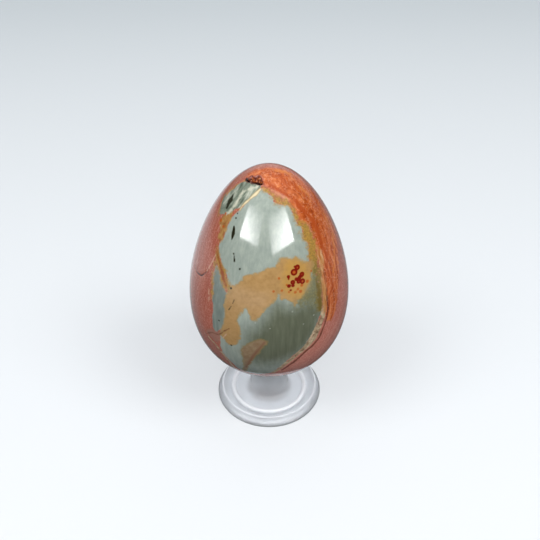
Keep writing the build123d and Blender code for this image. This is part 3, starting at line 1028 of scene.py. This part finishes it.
print("with the rind:", len(tree.nodes), "nodes")

# %% [markdown]
# ## Red-orange band
# Near the top the band is a swirl of oranges with thin, pale, worm-like veins: places where a noise
# passes through zero. Farther down it is drawn out into streaks alongside the window. Both tones are
# made, and the height on the egg blends one into the other.

# %% Red-orange band in colour
BAND_HIGH = 76 * MM
BAND_LOW = 62 * MM
orange_swirl = grain(1.6, detail=6, rough=0.7)
orange_high = tone(orange_swirl, 2.3, [(0.1, "7C2E0C"), (0.38, "A44418"), (0.6, "BC5A26"), (0.85, "D27E44")])
orange_streaks = streaks(0.9, 12, window_field)
orange_low = tone(orange_streaks, 2.4, [(0.15, "863612"), (0.5, "BE5A2A"), (0.85, "D8824E")])
orange_drop = {"Value": axes["Z"], 1: BAND_HIGH, 2: BAND_LOW, 3: 0.35, 4: 0.9}
orange_drop = add(tree, "ShaderNodeMapRange", orange_drop).outputs[0]
orange_mixed = {0: orange_drop, 6: orange_high, 7: orange_low}
orange_tone = add(tree, "ShaderNodeMix", orange_mixed, data_type="RGBA").outputs[2]
worm_noise = add(tree, "ShaderNodeMath", {0: grain(1.4, detail=3)}, operation="ABSOLUTE").outputs[0]
worms = add(tree, "ShaderNodeMapRange", {"Value": worm_noise, 1: 0.0, 2: 0.03, 3: 0.6, 4: 0.0}).outputs[0]
veined = {0: worms, 6: orange_tone, 7: colour("DE9C74")}
orange_tone = add(tree, "ShaderNodeMix", veined, data_type="RGBA").outputs[2]
skin = lay(skin, colour("9A4E24"), "brown_top", wander=0.8, soft=1.6, most=0.8)
skin = lay(skin, orange_tone, "orange", wander=0.7, soft=0.5)
skin = lay(skin, colour("D07A34"), "amber", wander=0.5, soft=0.5, most=0.8)
skin = lay(skin, colour("AA481C"), "red", wander=0.3, soft=0.35, most=0.85)
skin = lay(skin, colour("D89A74"), "salmon", wander=0.5, soft=0.5, most=0.7)
print("with the band:", len(tree.nodes), "nodes")

# %% [markdown]
# ## Windows and patches in colour
# The windows carry faint upright streaks, and their lower part is darker and greener, partly in the
# stone's own colour and partly as painted shade. The real stone lets light in a little way. Subsurface
# scattering could show that, but it blurs the small marks, so the darker part is painted as a second
# tone, which also holds the painted shade. The patches are even, finely grained tones with a darker rim.

# %% Windows and patches in colour
STREAK_SHRINK = 0.12
upright = {"Vector": place, "Scale": (1, 1, STREAK_SHRINK)}
upright = add(tree, "ShaderNodeMapping", upright).outputs[0]
window_streaks = grain(1.1, vector=upright)
window_high = tone(window_streaks, 0.8, [(0.2, "87938A"), (0.5, "98A298"), (0.8, "A9B1A5")])
# Darker tone for the lower part of the windows: partly their own colour, partly painted shade
window_deep_shaded = tone(window_streaks, 0.6, [(0.2, "4F5443"), (0.5, "626754"), (0.8, "777E68")])
window_deep_shaded_share = within("deep_and_shaded", wander=0.6, soft=4.0)
window_mixed = {0: window_deep_shaded_share, 6: window_high, 7: window_deep_shaded}
window_tone = add(tree, "ShaderNodeMix", window_mixed, data_type="RGBA").outputs[2]
skin = lay(skin, colour("A5803F"), "far_window", wander=0.9, soft=0.5, shift=0.5, most=0.85)
skin = lay(skin, window_tone, "window", wander=0.35, soft=0.2)
strip_tone = tone(window_streaks, 1.2, [(0.2, "64706A"), (0.5, "76817A"), (0.8, "8E978C")])
skin = lay(skin, strip_tone, "strip", wander=0.35, soft=0.4, most=0.9)
ochre_tone = tone(fine_noise, 1.1, [(0.15, "75683E"), (0.4, "96773A"), (0.6, "B0863F"), (0.85, "C08C50")])
skin = lay(skin, ochre_tone, "ochre", wander=1.0, soft=0.85)
olive_tone = tone(fine_noise, 1.6, [(0.2, "5E5E3A"), (0.5, "6E6838"), (0.8, "867A46")])
skin = lay(skin, olive_tone, "olive", wander=1.4, soft=2.2, most=0.8)
skin = lay(skin, colour("6E5C2A"), "olive_line", wander=0.5, soft=0.5)
rust_tone = tone(edge_noise, 1.4, [(0.2, "84522A"), (0.5, "A47846"), (0.85, "B8965C")])
skin = lay(skin, rust_tone, "rust", wander=0.5, soft=0.4)
skin = lay(skin, colour("8E4A22"), "left_vein", wander=0.3, soft=0.35)
tan_tone = tone(edge_noise, 0.9, [(0.2, "9C784A"), (0.5, "AE8957"), (0.8, "BA9562")])
skin = lay(skin, colour("9C8450"), "tan", wander=0.4, soft=0.35, most=0.8)
skin = lay(skin, tan_tone, "tan", wander=0.6, soft=0.45, shift=-0.3)
low_tone = tone(edge_noise, 1.2, [(0.2, "866A4E"), (0.5, "8E765A"), (0.8, "9C8868")])
skin = lay(skin, colour("8E7846"), "grey_tan", wander=0.5, soft=0.4, shift=0.35, most=0.75)
skin = lay(skin, low_tone, "grey_tan", wander=0.3, soft=0.4)
skin = lay(skin, colour("7C4A38"), "low_vein", wander=0.3, soft=0.5, most=0.75)
skin = lay(skin, colour("BC9044"), "stain", wander=0.8, soft=1.5, most=0.7)
print("with windows and patches:", len(tree.nodes), "nodes")

# %% [markdown]
# ## Agate, veins and marks in colour
# The agate's bands slant across its lens, so their noise is drawn out along a slanting direction. The
# veins and marks follow, each a thin coat over what is there, with the smallest and darkest last.

# %% Agate, veins and marks in colour
AGATE_SLANT = math.radians(50)
slant = {0: place, 1: (math.sin(AGATE_SLANT) / MM, 0, -math.cos(AGATE_SLANT) / MM)}
agate_measure = add(tree, "ShaderNodeVectorMath", slant, operation="DOT_PRODUCT").outputs["Value"]
agate_bands = streaks(0.55, 3.2, agate_measure, detail=5)
agate_tone = tone(agate_bands, 1.7, [(0.1, "424A3E"), (0.4, "727C6C"), (0.6, "8E9686"), (0.88, "C8CAB8")])
skin = lay(skin, agate_tone, "agate", wander=0.2, soft=0.2)
skin = lay(skin, colour("687260"), "agate_edge", wander=0.2, soft=0.3)
skin = lay(skin, colour("2C2E1E"), "agate_dark", wander=0.5, soft=0.4)
skin = lay(skin, colour("CAC9B4"), "agate_light", wander=0.5, soft=0.4, most=0.85)
beige_tone = tone(edge_noise, 1.5, [(0.15, "66503C"), (0.45, "A88F70"), (0.85, "D6C6A6")])
skin = lay(skin, beige_tone, "beige", wander=0.3, soft=0.25)
sand_tone = tone(streaks(0.5, 5, window_field), 1.8, [(0.15, "A8682E"), (0.5, "C08A52"), (0.85, "DCB48C")])
skin = lay(skin, sand_tone, "sand", wander=0.5, soft=0.5, most=0.9)
skin = lay(skin, colour("A88A5A"), "cream", wander=0.2, soft=0.2, shift=0.2, most=0.7)
skin = lay(skin, colour("DCCDA6"), "cream", wander=0.15, soft=0.18)
skin = lay(skin, colour("D8B49A"), "pale", wander=0.12, soft=0.18, most=0.7)
skin = lay(skin, colour("6A3A28"), "brown", wander=0.2, soft=0.25, most=0.9)
skin = lay(skin, colour("B0501A"), "orange_blobs", wander=0.12, soft=0.2, most=0.85)
skin = lay(skin, colour("7A1406"), "rings", wander=0.08, soft=0.1)
skin = lay(skin, colour("B4581E"), "rings", wander=0.12, soft=0.14, shift=-0.56)
skin = lay(skin, colour("7A1406"), "red_blobs", wander=0.1, soft=0.15)
skin = lay(skin, colour("23220F"), "black", wander=0.12, soft=0.15)
skin = lay(skin, colour("D2D4C6"), "specks", wander=0.05, soft=0.14, most=0.35)
skin = lay(skin, colour("3A1E18"), "crack", wander=0.05, soft=0.15)
skin = lay(skin, colour("6A2610"), "pocket", wander=0.45, soft=0.25)
# Painted shade along the lower edge and left end of the hollow
skin = lay(skin, colour("1E0804"), "pocket_painted_shade", wander=0.3, soft=0.25)
print("with all marks:", len(tree.nodes), "nodes")

# %% [markdown]
# ## Polish
# Stone of this kind takes a high polish, with the gloss of bare quartz. A coat of varnish over a dull
# base would look much the same, but there is no varnish on the real egg: the stone itself is smooth. It
# isn't a perfect mirror, and a slight, uneven roughness softens what it shows. Only the crack and the
# hollow stay dull.

# %% Polish
POLISH_ROUGH = 0.09
POLISH_UNEVEN = 0.05
DULL_ROUGH = 0.5
wear = {0: fine_noise, 1: POLISH_UNEVEN, 2: POLISH_ROUGH}
wear = add(tree, "ShaderNodeMath", wear, operation="MULTIPLY_ADD").outputs[0]
dull = add(tree, "ShaderNodeMath", {0: within("crack"), 1: within("pocket")}, operation="MAXIMUM").outputs[0]
roughness = add(tree, "ShaderNodeMapRange", {"Value": dull, 3: wear, 4: DULL_ROUGH}).outputs[0]
polish = {"Height": fine_noise, "Strength": 0.05, "Distance": 0.05 * MM}
polish = add(tree, "ShaderNodeBump", polish).outputs[0]
stone_shader = add(tree, "ShaderNodeBsdfPrincipled", {
    "Base Color": skin, "Roughness": roughness, "Normal": polish, "IOR": 1.55})
add(tree, "ShaderNodeOutputMaterial", {0: stone_shader.outputs[0]})
print("jasper:", len(tree.nodes), "nodes")

# %% [markdown]
# ## Crystals in the hollow
# The hollow is lined with red-brown quartz, a carpet of small six-sided points. Repeats like these are
# work for Geometry Nodes: points are scattered over the floor of the hollow, each gets a crystal that
# stands on the stone, and chance, with a fixed seed, tilts, turns, sizes and tints it.

# %% The floor of the hollow
POCKET_MARGIN = 0.2
floor_faces = [face for face in egg.data.polygons if pocket[list(face.vertices)].min() > POCKET_MARGIN]
floor_numbers = sorted({number for face in floor_faces for number in face.vertices})
renumbered = {number: index for index, number in enumerate(floor_numbers)}
hollow = bpy.data.meshes.new("hollow_floor")
hollow.from_pydata([tuple(egg.data.vertices[number].co) for number in floor_numbers], [],
                   [[renumbered[number] for number in face.vertices] for face in floor_faces])
# The hollow's painted shade goes with its floor, for the crystals
hollow_shade_store = hollow.attributes.new("hollow_painted_shade", "FLOAT", "POINT")
hollow_shade_store.data.foreach_set("value", pocket_painted_shade[floor_numbers].astype(np.float32))
print(len(floor_faces), "faces in the floor of the hollow")

# %% Crystal carpet
CRYSTAL_SEED = 7
CRYSTAL_SIDES = 6
CRYSTAL_SMALLEST = 0.45
CRYSTAL_PALEST = 0.8
CRYSTAL_CROWD = 3e7
crystal_tree = with_inputs("crystal_carpet", {
    "Ground": "Geometry", "Spacing": "Float", "Radius": "Float", "Height": "Float", "Tilt": "Float",
    "Seed": "Int", "Quartz": "Material",
})
given = add(crystal_tree, "NodeGroupInput").outputs
points = add(crystal_tree, "GeometryNodeDistributePointsOnFaces", {
    "Mesh": given["Ground"], "Distance Min": given["Spacing"], "Density Max": CRYSTAL_CROWD,
    "Seed": given["Seed"],
}, distribute_method="POISSON").outputs
crystal = add(crystal_tree, "GeometryNodeMeshCone", {
    "Vertices": CRYSTAL_SIDES, "Radius Bottom": given["Radius"], "Depth": given["Height"]}).outputs["Mesh"]
sizes = {2: CRYSTAL_SMALLEST, 3: 1.0, 8: given["Seed"]}
sizes = add(crystal_tree, "FunctionNodeRandomValue", sizes).outputs[1]
carpet = add(crystal_tree, "GeometryNodeInstanceOnPoints", {
    "Points": points["Points"], "Instance": crystal, "Rotation": points["Rotation"], "Scale": sizes,
}).outputs[0]
lean = add(crystal_tree, "ShaderNodeMath", {0: given["Tilt"], 1: -1.0}, operation="MULTIPLY").outputs[0]
least = add(crystal_tree, "ShaderNodeCombineXYZ", {"X": lean, "Y": lean}).outputs[0]
greatest = {"X": given["Tilt"], "Y": given["Tilt"], "Z": math.pi}
greatest = add(crystal_tree, "ShaderNodeCombineXYZ", greatest).outputs[0]
tilts = add(crystal_tree, "FunctionNodeRandomValue", {0: least, 1: greatest, 8: given["Seed"]},
            data_type="FLOAT_VECTOR").outputs[0]
tilted = add(crystal_tree, "GeometryNodeRotateInstances", {"Instances": carpet, "Rotation": tilts}).outputs[0]
chance = {2: 0.0, 3: CRYSTAL_PALEST, 8: given["Seed"]}
chance = add(crystal_tree, "FunctionNodeRandomValue", chance).outputs[1]
tinted = {"Geometry": tilted, "Name": "tint", "Value": chance}
tinted = add(crystal_tree, "GeometryNodeStoreNamedAttribute", tinted, data_type="FLOAT",
             domain="INSTANCE").outputs[0]
real = add(crystal_tree, "GeometryNodeRealizeInstances", {"Geometry": tinted}).outputs[0]
dressed = {"Geometry": real, "Material": given["Quartz"]}
dressed = add(crystal_tree, "GeometryNodeSetMaterial", dressed).outputs[0]
add(crystal_tree, "NodeGroupOutput", {0: dressed})
# Quartz as it grew in the hollow: red-brown with iron, low gloss, a few painted glints, painted shade
quartz = bpy.data.materials.new("red_brown_quartz")
crystals = grown("pocket_crystals", crystal_tree, {
    "Spacing": 0.32 * MM, "Radius": 0.26 * MM, "Height": 0.75 * MM, "Tilt": 0.5, "Seed": CRYSTAL_SEED,
    "Quartz": quartz,
}, start=hollow)
crystal_count = len(crystals.data.vertices) // (CRYSTAL_SIDES + 1)
print(crystal_count, "crystals of", triangles(crystals.data), "triangles in all")

# %% [markdown]
# ## Quartz
# Iron has stained the quartz from dark red to a pale orange brown, and the palest few are near white, a
# painted glint. Each crystal has its own tint, given by chance and read from the mesh, so that one
# material serves them all. Those in the shaded parts of the hollow are painted nearly black, as painted
# shade. In the picture their small faces hardly glint, so the gloss is held low.

# %% Quartz
quartz.use_nodes = True
tree = quartz.node_tree
tree.nodes.clear()
place = add(tree, "ShaderNodeTexCoord").outputs["Object"]
tint = add(tree, "ShaderNodeAttribute", attribute_name="tint").outputs["Fac"]
cloud = add(tree, "ShaderNodeTexNoise", {"Vector": place, "Scale": 1 / (0.3 * MM)}).outputs["Fac"]
mixed = add(tree, "ShaderNodeMath", {0: cloud, 1: 0.3, 2: tint}, operation="MULTIPLY_ADD").outputs[0]
# The ramp's near-white end, which only the palest few crystals reach, is a painted glint
quartz_tone = add(tree, "ShaderNodeValToRGB", {0: mixed}, stops=[
    (0.1, "44120A"), (0.5, "90401E"), (0.9, "B4663C"), (1.0, "E0B898")]).outputs[0]
# Painted shade: crystals in the hollow's shaded parts are darkened nearly to black
hollow_painted_shade = add(tree, "ShaderNodeAttribute", attribute_name="hollow_painted_shade").outputs["Fac"]
hollow_painted_shade = add(tree, "ShaderNodeMapRange", {"Value": hollow_painted_shade, 1: -0.2, 2: 0.15}).outputs[0]
quartz_mixed = {0: hollow_painted_shade, 6: quartz_tone, 7: colour("1A0603")}
quartz_tone = add(tree, "ShaderNodeMix", quartz_mixed, data_type="RGBA").outputs[2]
quartz_shader = add(tree, "ShaderNodeBsdfPrincipled", {
    "Base Color": quartz_tone, "Roughness": 0.4, "IOR": 1.54, "Specular IOR Level": 0.05})
add(tree, "ShaderNodeOutputMaterial", {0: quartz_shader.outputs[0]})
print("quartz:", len(tree.nodes), "nodes")

# %% [markdown]
# ## The clear stand
# The stand is one moulding of clear plastic: a saucer foot with a ridge at its edge and a bead inside it,
# a solid stem, and a cup that follows the egg. All of it is round, so a half outline is spun about the
# axis. The outline is put together from straight runs and arcs, and the seat follows the egg's rule with
# a small gap.

# %% Sizes and arcs of the stand
STAND = {
    "seat": 16.6, "seat_gap": 0.1, "cup": 10.4, "flare": 5.9, "flare_pull": 0.36, "lip": 0.5, "land": 0.4,
    "stem": 6.4, "fillet": 2.4, "base": BASE_RADIUS, "base_round": 0.3, "foot_in": BASE_RADIUS - 2.4,
    "ridge": BASE_RADIUS - 1.8, "ridge_top": 3.1, "ridge_round": 0.45, "ridge_turn": 125, "floor": 1.5,
    "under": 0.25, "bead": BASE_RADIUS - 5.5, "bead_half": 0.9, "bead_rise": 0.75, "groove_run": 1.4,
    "groove_top": 1.1, "groove_out": 0.5,
}


def rounding(middle_r, middle_z, size, start, end, steps=10):
    """Points (r, z) of an arc about a centre, angles in degrees."""
    angles = np.radians(np.linspace(start, end, steps + 1))
    return [(middle_r + size * math.cos(angle), middle_z + size * math.sin(angle)) for angle in angles]


def leaving(start, way, end, steps=14):
    """Points of the arc that leaves a start in a direction and reaches an end."""
    start, way, end = np.array(start), np.array(way) / np.linalg.norm(way), np.array(end)
    normal = np.array([-way[1], way[0]])
    chord = end - start
    size = chord @ chord / (2 * (normal @ chord))
    middle = start + normal * size
    first, last = [math.degrees(math.atan2(*(point - middle)[::-1])) for point in (start, end)]
    if size > 0 and last < first:
        last += 360
    if size < 0 and last > first:
        last -= 360
    return rounding(*middle, abs(size), first, last, steps)


def egg_share(angle):
    """Relative radius of the egg at an angle."""
    lift = math.sin(angle)
    return math.cos(angle) * (1 - EGG_TAPER * lift + EGG_FULLNESS * lift**2)


EGG_ANGLES = np.linspace(-math.pi / 2, math.pi / 2, 2001)
EGG_WIDEST = max(egg_share(angle) for angle in EGG_ANGLES)


def egg_spot(angle):
    """Radius and height, in mm, of a point on the egg."""
    height = EGG_LENGTH / 2 * (1 + math.sin(angle)) + EGG_LOW[2]
    return np.array([EGG_WIDTH / 2 * egg_share(angle) / EGG_WIDEST, height]) / MM


def seat_spot(angle):
    """Radius and height, in mm, of a point on the seat under the egg."""
    run = egg_spot(angle + 1e-4) - egg_spot(angle - 1e-4)
    return egg_spot(angle) + STAND["seat_gap"] * np.array([run[1], -run[0]]) / np.linalg.norm(run)


print("the seat is lowest at", round(float(seat_spot(EGG_ANGLES[1])[1]), 1), "mm")

# %% [markdown]
# ## Half outline of the stand
# The outline starts at the foot ring and runs up the sloping wall, over the ridge and the bead, up the
# stem and round the lip, then down the seat to the axis and back along the underside. It could be traced
# point by point, but sums keep it true: the angle of the wall follows from the two roundings that it has
# to meet smoothly.

# %% Half outline of the stand
s = STAND
ridge_z = s["ridge_top"] - s["ridge_round"]
base_r = s["base"] - s["base_round"]
wall_lean, wall_rise = base_r - s["ridge"], ridge_z - s["base_round"]
wall_swing = math.acos((s["ridge_round"] - s["base_round"]) / math.hypot(wall_lean, wall_rise))
wall_facing = math.degrees(wall_swing - math.atan2(wall_rise, wall_lean))
crest = rounding(s["ridge"], ridge_z, s["ridge_round"], wall_facing, s["ridge_turn"])
slope_way = (-math.sin(math.radians(s["ridge_turn"])), math.cos(math.radians(s["ridge_turn"])))
bead_out = (s["bead"] + s["bead_half"], s["floor"])
bead_size = (s["bead_half"]**2 + s["bead_rise"]**2) / (2 * s["bead_rise"])
bead_z = s["floor"] + s["bead_rise"] - bead_size
bead_turn = math.degrees(math.asin((s["floor"] - bead_z) / bead_size))
seat_edge = s["cup"] - s["lip"] - s["land"]
seat_angles = [angle for angle in EGG_ANGLES[1:700] if seat_spot(angle)[0] < seat_edge][::12]
seat = [tuple(seat_spot(angle)) for angle in reversed(seat_angles)] + [(0.0, s["seat"])]
lip_r, lip_z = s["cup"] - s["lip"], seat[0][1] - s["lip"]
lip = rounding(lip_r, lip_z, s["lip"], -45, 90)
flare_start, flare_end = np.array((s["stem"], seat[0][1] - s["flare"])), np.array(lip[0])
flare_pull = np.linalg.norm(flare_end - flare_start) * s["flare_pull"]
flare_first = flare_start + np.array((0, flare_pull))
flare_last = flare_end - np.array((flare_pull, flare_pull)) * math.sqrt(0.5)
flare = [tuple((1 - u)**3 * flare_start + 3 * (1 - u)**2 * u * flare_first + 3 * (1 - u) * u**2 * flare_last
               + u**3 * flare_end) for u in np.linspace(0, 1, 15)]
groove_start = (bead_out[0], s["under"])
groove_end = (bead_out[0] + s["groove_run"], s["groove_top"])
groove_way = np.array(groove_end) - np.array(groove_start)

outline = [(s["foot_in"], 0.0)]
outline += rounding(base_r, s["base_round"], s["base_round"], -90, wall_facing, 8)
outline += crest
outline += leaving(crest[-1], slope_way, bead_out)[1:]
outline += rounding(s["bead"], bead_z, bead_size, bead_turn, 180 - bead_turn, 14)[1:]
outline += rounding(s["stem"] + s["fillet"], s["floor"] + s["fillet"], s["fillet"], 270, 180)
outline += flare + lip[1:] + seat
outline += [(0.0, s["under"]), groove_start]
outline += leaving(groove_end, groove_way, (s["foot_in"], s["groove_out"]))
print(len(outline), "points in the stand's half outline, wall facing", round(wall_facing, 1), "degrees up")

# %% [markdown]
# ## Spinning the stand
# A spin could also be a Screw modifier. Here the circles of points are made directly, because each point
# can then remember how far it is from the crests of the ridge and the bead, where a painted highlight
# goes, and how much painted shade it carries on the stem, the outer wall and the lower edge.

# %% Spin the outline
STAND_STEPS = 224
RUN_LENGTH = 0.5
CUP_START = 12.5
CUP_CLEAR = 17.5
SHARP_FROM = math.radians(28)
# Sizes of the painted shade on the stem, the outer wall and the lower edge
STEM_SHADE_REACH = 1.8
STEM_SHADE_TOP = 12.0
STEM_SHADE_LEAST = 0.3
STEM_SHADE = 0.6
WALL_SHADE = 0.24
WALL_OUT = (0.3, 0.7)
WALL_DOWN = (0.2, 0.7)
EDGE_IN = (0.5, 0.1)
EDGE_HEIGHT = (0.7, 0.2)
# Crests of the ridge and the bead, which carry a painted highlight
CRESTS = [(s["ridge"], s["ridge_top"], 0.3), (s["bead"], s["floor"] + s["bead_rise"], 0.9)]


def divided(points):
    """A closed outline with its long straight runs divided."""
    rows = []
    for start, end in zip(points, points[1:] + points[:1]):
        pieces = max(1, math.ceil(math.dist(start, end) / RUN_LENGTH))
        start, run = np.array(start), np.array(end) - np.array(start)
        rows += [tuple(start + run * step / pieces) for step in range(pieces)]
    return rows


def spun(name, points):
    """Closed object of a half outline of points (r, z) in mm, spun about the upright axis."""
    shell = bmesh.new()
    angles = [2 * math.pi * step / STAND_STEPS for step in range(STAND_STEPS)]
    circles = []
    for r, z in points:
        ring = [(math.cos(angle), math.sin(angle)) for angle in angles] if r > 1e-6 else [(0, 0)]
        circles.append([shell.verts.new((r * MM * x, r * MM * y, z * MM)) for x, y in ring])
    for first, second in zip(circles, circles[1:] + circles[:1]):
        if len(first) == len(second) == 1:
            continue
        for step in range(STAND_STEPS):
            after = (step + 1) % STAND_STEPS
            corners = [first[step % len(first)], first[after % len(first)]]
            corners += [second[after % len(second)], second[step % len(second)]]
            shell.faces.new(list(dict.fromkeys(corners)))
    bmesh.ops.recalc_face_normals(shell, faces=shell.faces)
    for face in shell.faces:
        face.smooth = True
    mesh = bpy.data.meshes.new(name)
    shell.to_mesh(mesh)
    shell.free()
    mesh.set_sharp_from_angle(angle=SHARP_FROM)
    piece = bpy.data.objects.new(name, mesh)
    scene.collection.objects.link(piece)
    return piece


stand = spun("moulded_stand", divided(outline))
stand_spots = np.array([point.co for point in stand.data.vertices]) / MM
stand_r, stand_z = np.hypot(stand_spots[:, 0], stand_spots[:, 1]), stand_spots[:, 2]
# Painted shade on the stem for the shade under the egg, lighter painted shade on the outer wall, and a
# painted shadow on the lower edge where it meets the table
painted_stem_shade = STEM_SHADE * eased(stand_r, s["stem"] + STEM_SHADE_REACH, s["stem"])
painted_stem_shade *= STEM_SHADE_LEAST + (1 - STEM_SHADE_LEAST) * eased(stand_z, s["floor"], STEM_SHADE_TOP)
painted_stem_shade *= 1 - eased(stand_z, CUP_START, CUP_CLEAR)
painted_wall_shade = WALL_SHADE * eased(stand_r, *(s["ridge"] + out for out in WALL_OUT))
painted_wall_shade *= eased(stand_z, *(s["ridge_top"] - down for down in WALL_DOWN))
painted_edge_shadow = eased(stand_r, *(s["base"] - inwards for inwards in EDGE_IN)) * eased(stand_z, *EDGE_HEIGHT)
painted_shades = np.max([painted_stem_shade, painted_wall_shade, painted_edge_shadow], axis=0)
painted_shade_store = stand.data.attributes.new("painted_shade", "FLOAT", "POINT")
painted_shade_store.data.foreach_set("value", painted_shades.astype(np.float32))
# Distance from the crests, which sets where the painted highlight goes
crest_gaps = [np.hypot(stand_r - r, stand_z - z) / reach for r, z, reach in CRESTS]
crest_store = stand.data.attributes.new("crest_gap", "FLOAT", "POINT")
crest_store.data.foreach_set("value", np.min(crest_gaps, axis=0).astype(np.float32))
print(len(stand.data.vertices), "points in the stand,", triangles(stand.data), "triangles")

# %% [markdown]
# ## Clear plastic
# Clear moulded plastic is seen mostly by what it bends and mirrors. A plain see-through mix would be
# quicker, but it bends nothing, so this is true refraction. The foot and the stem look soft in the
# picture, so an uneven haze blurs what lies behind them. The cup, which the egg hides there, is clearer.
# Along the crests less of the plastic is refraction, so it shows near-white: a painted highlight in place
# of the bright lines that real crests show. The stem carries painted shade in place of the shade under
# the egg, the outer wall a lighter painted shade, and the lower edge a dark painted shadow where it meets
# the table.

# %% Clear plastic
HAZE = (0.42, 0.54)
CUP_HAZE = 0.15
CREST_PASSING = 0.4
# Clear plastic as it leaves the mould: bent light, soft haze, painted crest highlights, painted shade
clear = bpy.data.materials.new("clear_moulded_plastic")
clear.use_nodes = True
tree = clear.node_tree
tree.nodes.clear()
place = add(tree, "ShaderNodeTexCoord").outputs["Object"]
ripple = {"Vector": place, "Scale": 1 / (3 * MM), "Detail": 2.0}
ripple = add(tree, "ShaderNodeTexNoise", ripple).outputs["Fac"]
haze = add(tree, "ShaderNodeMapRange", {"Value": ripple, 1: 0.3, 2: 0.7, 3: HAZE[0], 4: HAZE[1]}).outputs[0]
height = add(tree, "ShaderNodeSeparateXYZ", {0: place}).outputs["Z"]
haze = {"Value": height, 1: CUP_START * MM, 2: CUP_CLEAR * MM, 3: haze, 4: CUP_HAZE}
haze = add(tree, "ShaderNodeMapRange", haze).outputs[0]
painted_shade = add(tree, "ShaderNodeAttribute", attribute_name="painted_shade").outputs["Fac"]
# Painted shade and shadow: the plastic turns grey and dark with the painted shade
plastic = add(tree, "ShaderNodeValToRGB", {0: painted_shade}, stops=[
    (0.0, "FAFCFF"), (0.6, "96999A"), (1.0, "3C4044")]).outputs[0]
# Painted highlight: near the crests less light passes through, so the plastic shows near-white
gap = add(tree, "ShaderNodeAttribute", attribute_name="crest_gap").outputs["Fac"]
passing = {"Value": gap, 1: 0.3, 2: 1.3, 3: CREST_PASSING, 4: 1.0}
passing = add(tree, "ShaderNodeMapRange", passing, interpolation_type="SMOOTHSTEP").outputs[0]
clear_shader = add(tree, "ShaderNodeBsdfPrincipled", {
    "Base Color": plastic, "Roughness": haze, "Transmission Weight": passing, "IOR": 1.49})
add(tree, "ShaderNodeOutputMaterial", {0: clear_shader.outputs[0]})
stand.data.materials.append(clear)
print("clear plastic:", len(tree.nodes), "nodes")

# %% [markdown]
# ## Pieces on their bodies
# Each piece rides on its body, and the egg and the stand take the place of their solids, which are
# hidden. The crystals are an extra of the egg and stand for no solid.

# %% Hand over
HAND_OVER = [
    (egg, "egg", "polished_stone", "stone_egg"),
    (crystals, "egg", "polished_stone", None),
    (stand, "stand", "clear_plastic", "clear_stand"),
]
for piece, body, slot, node in HAND_OVER:
    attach(piece, body)
    if node:
        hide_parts(node)
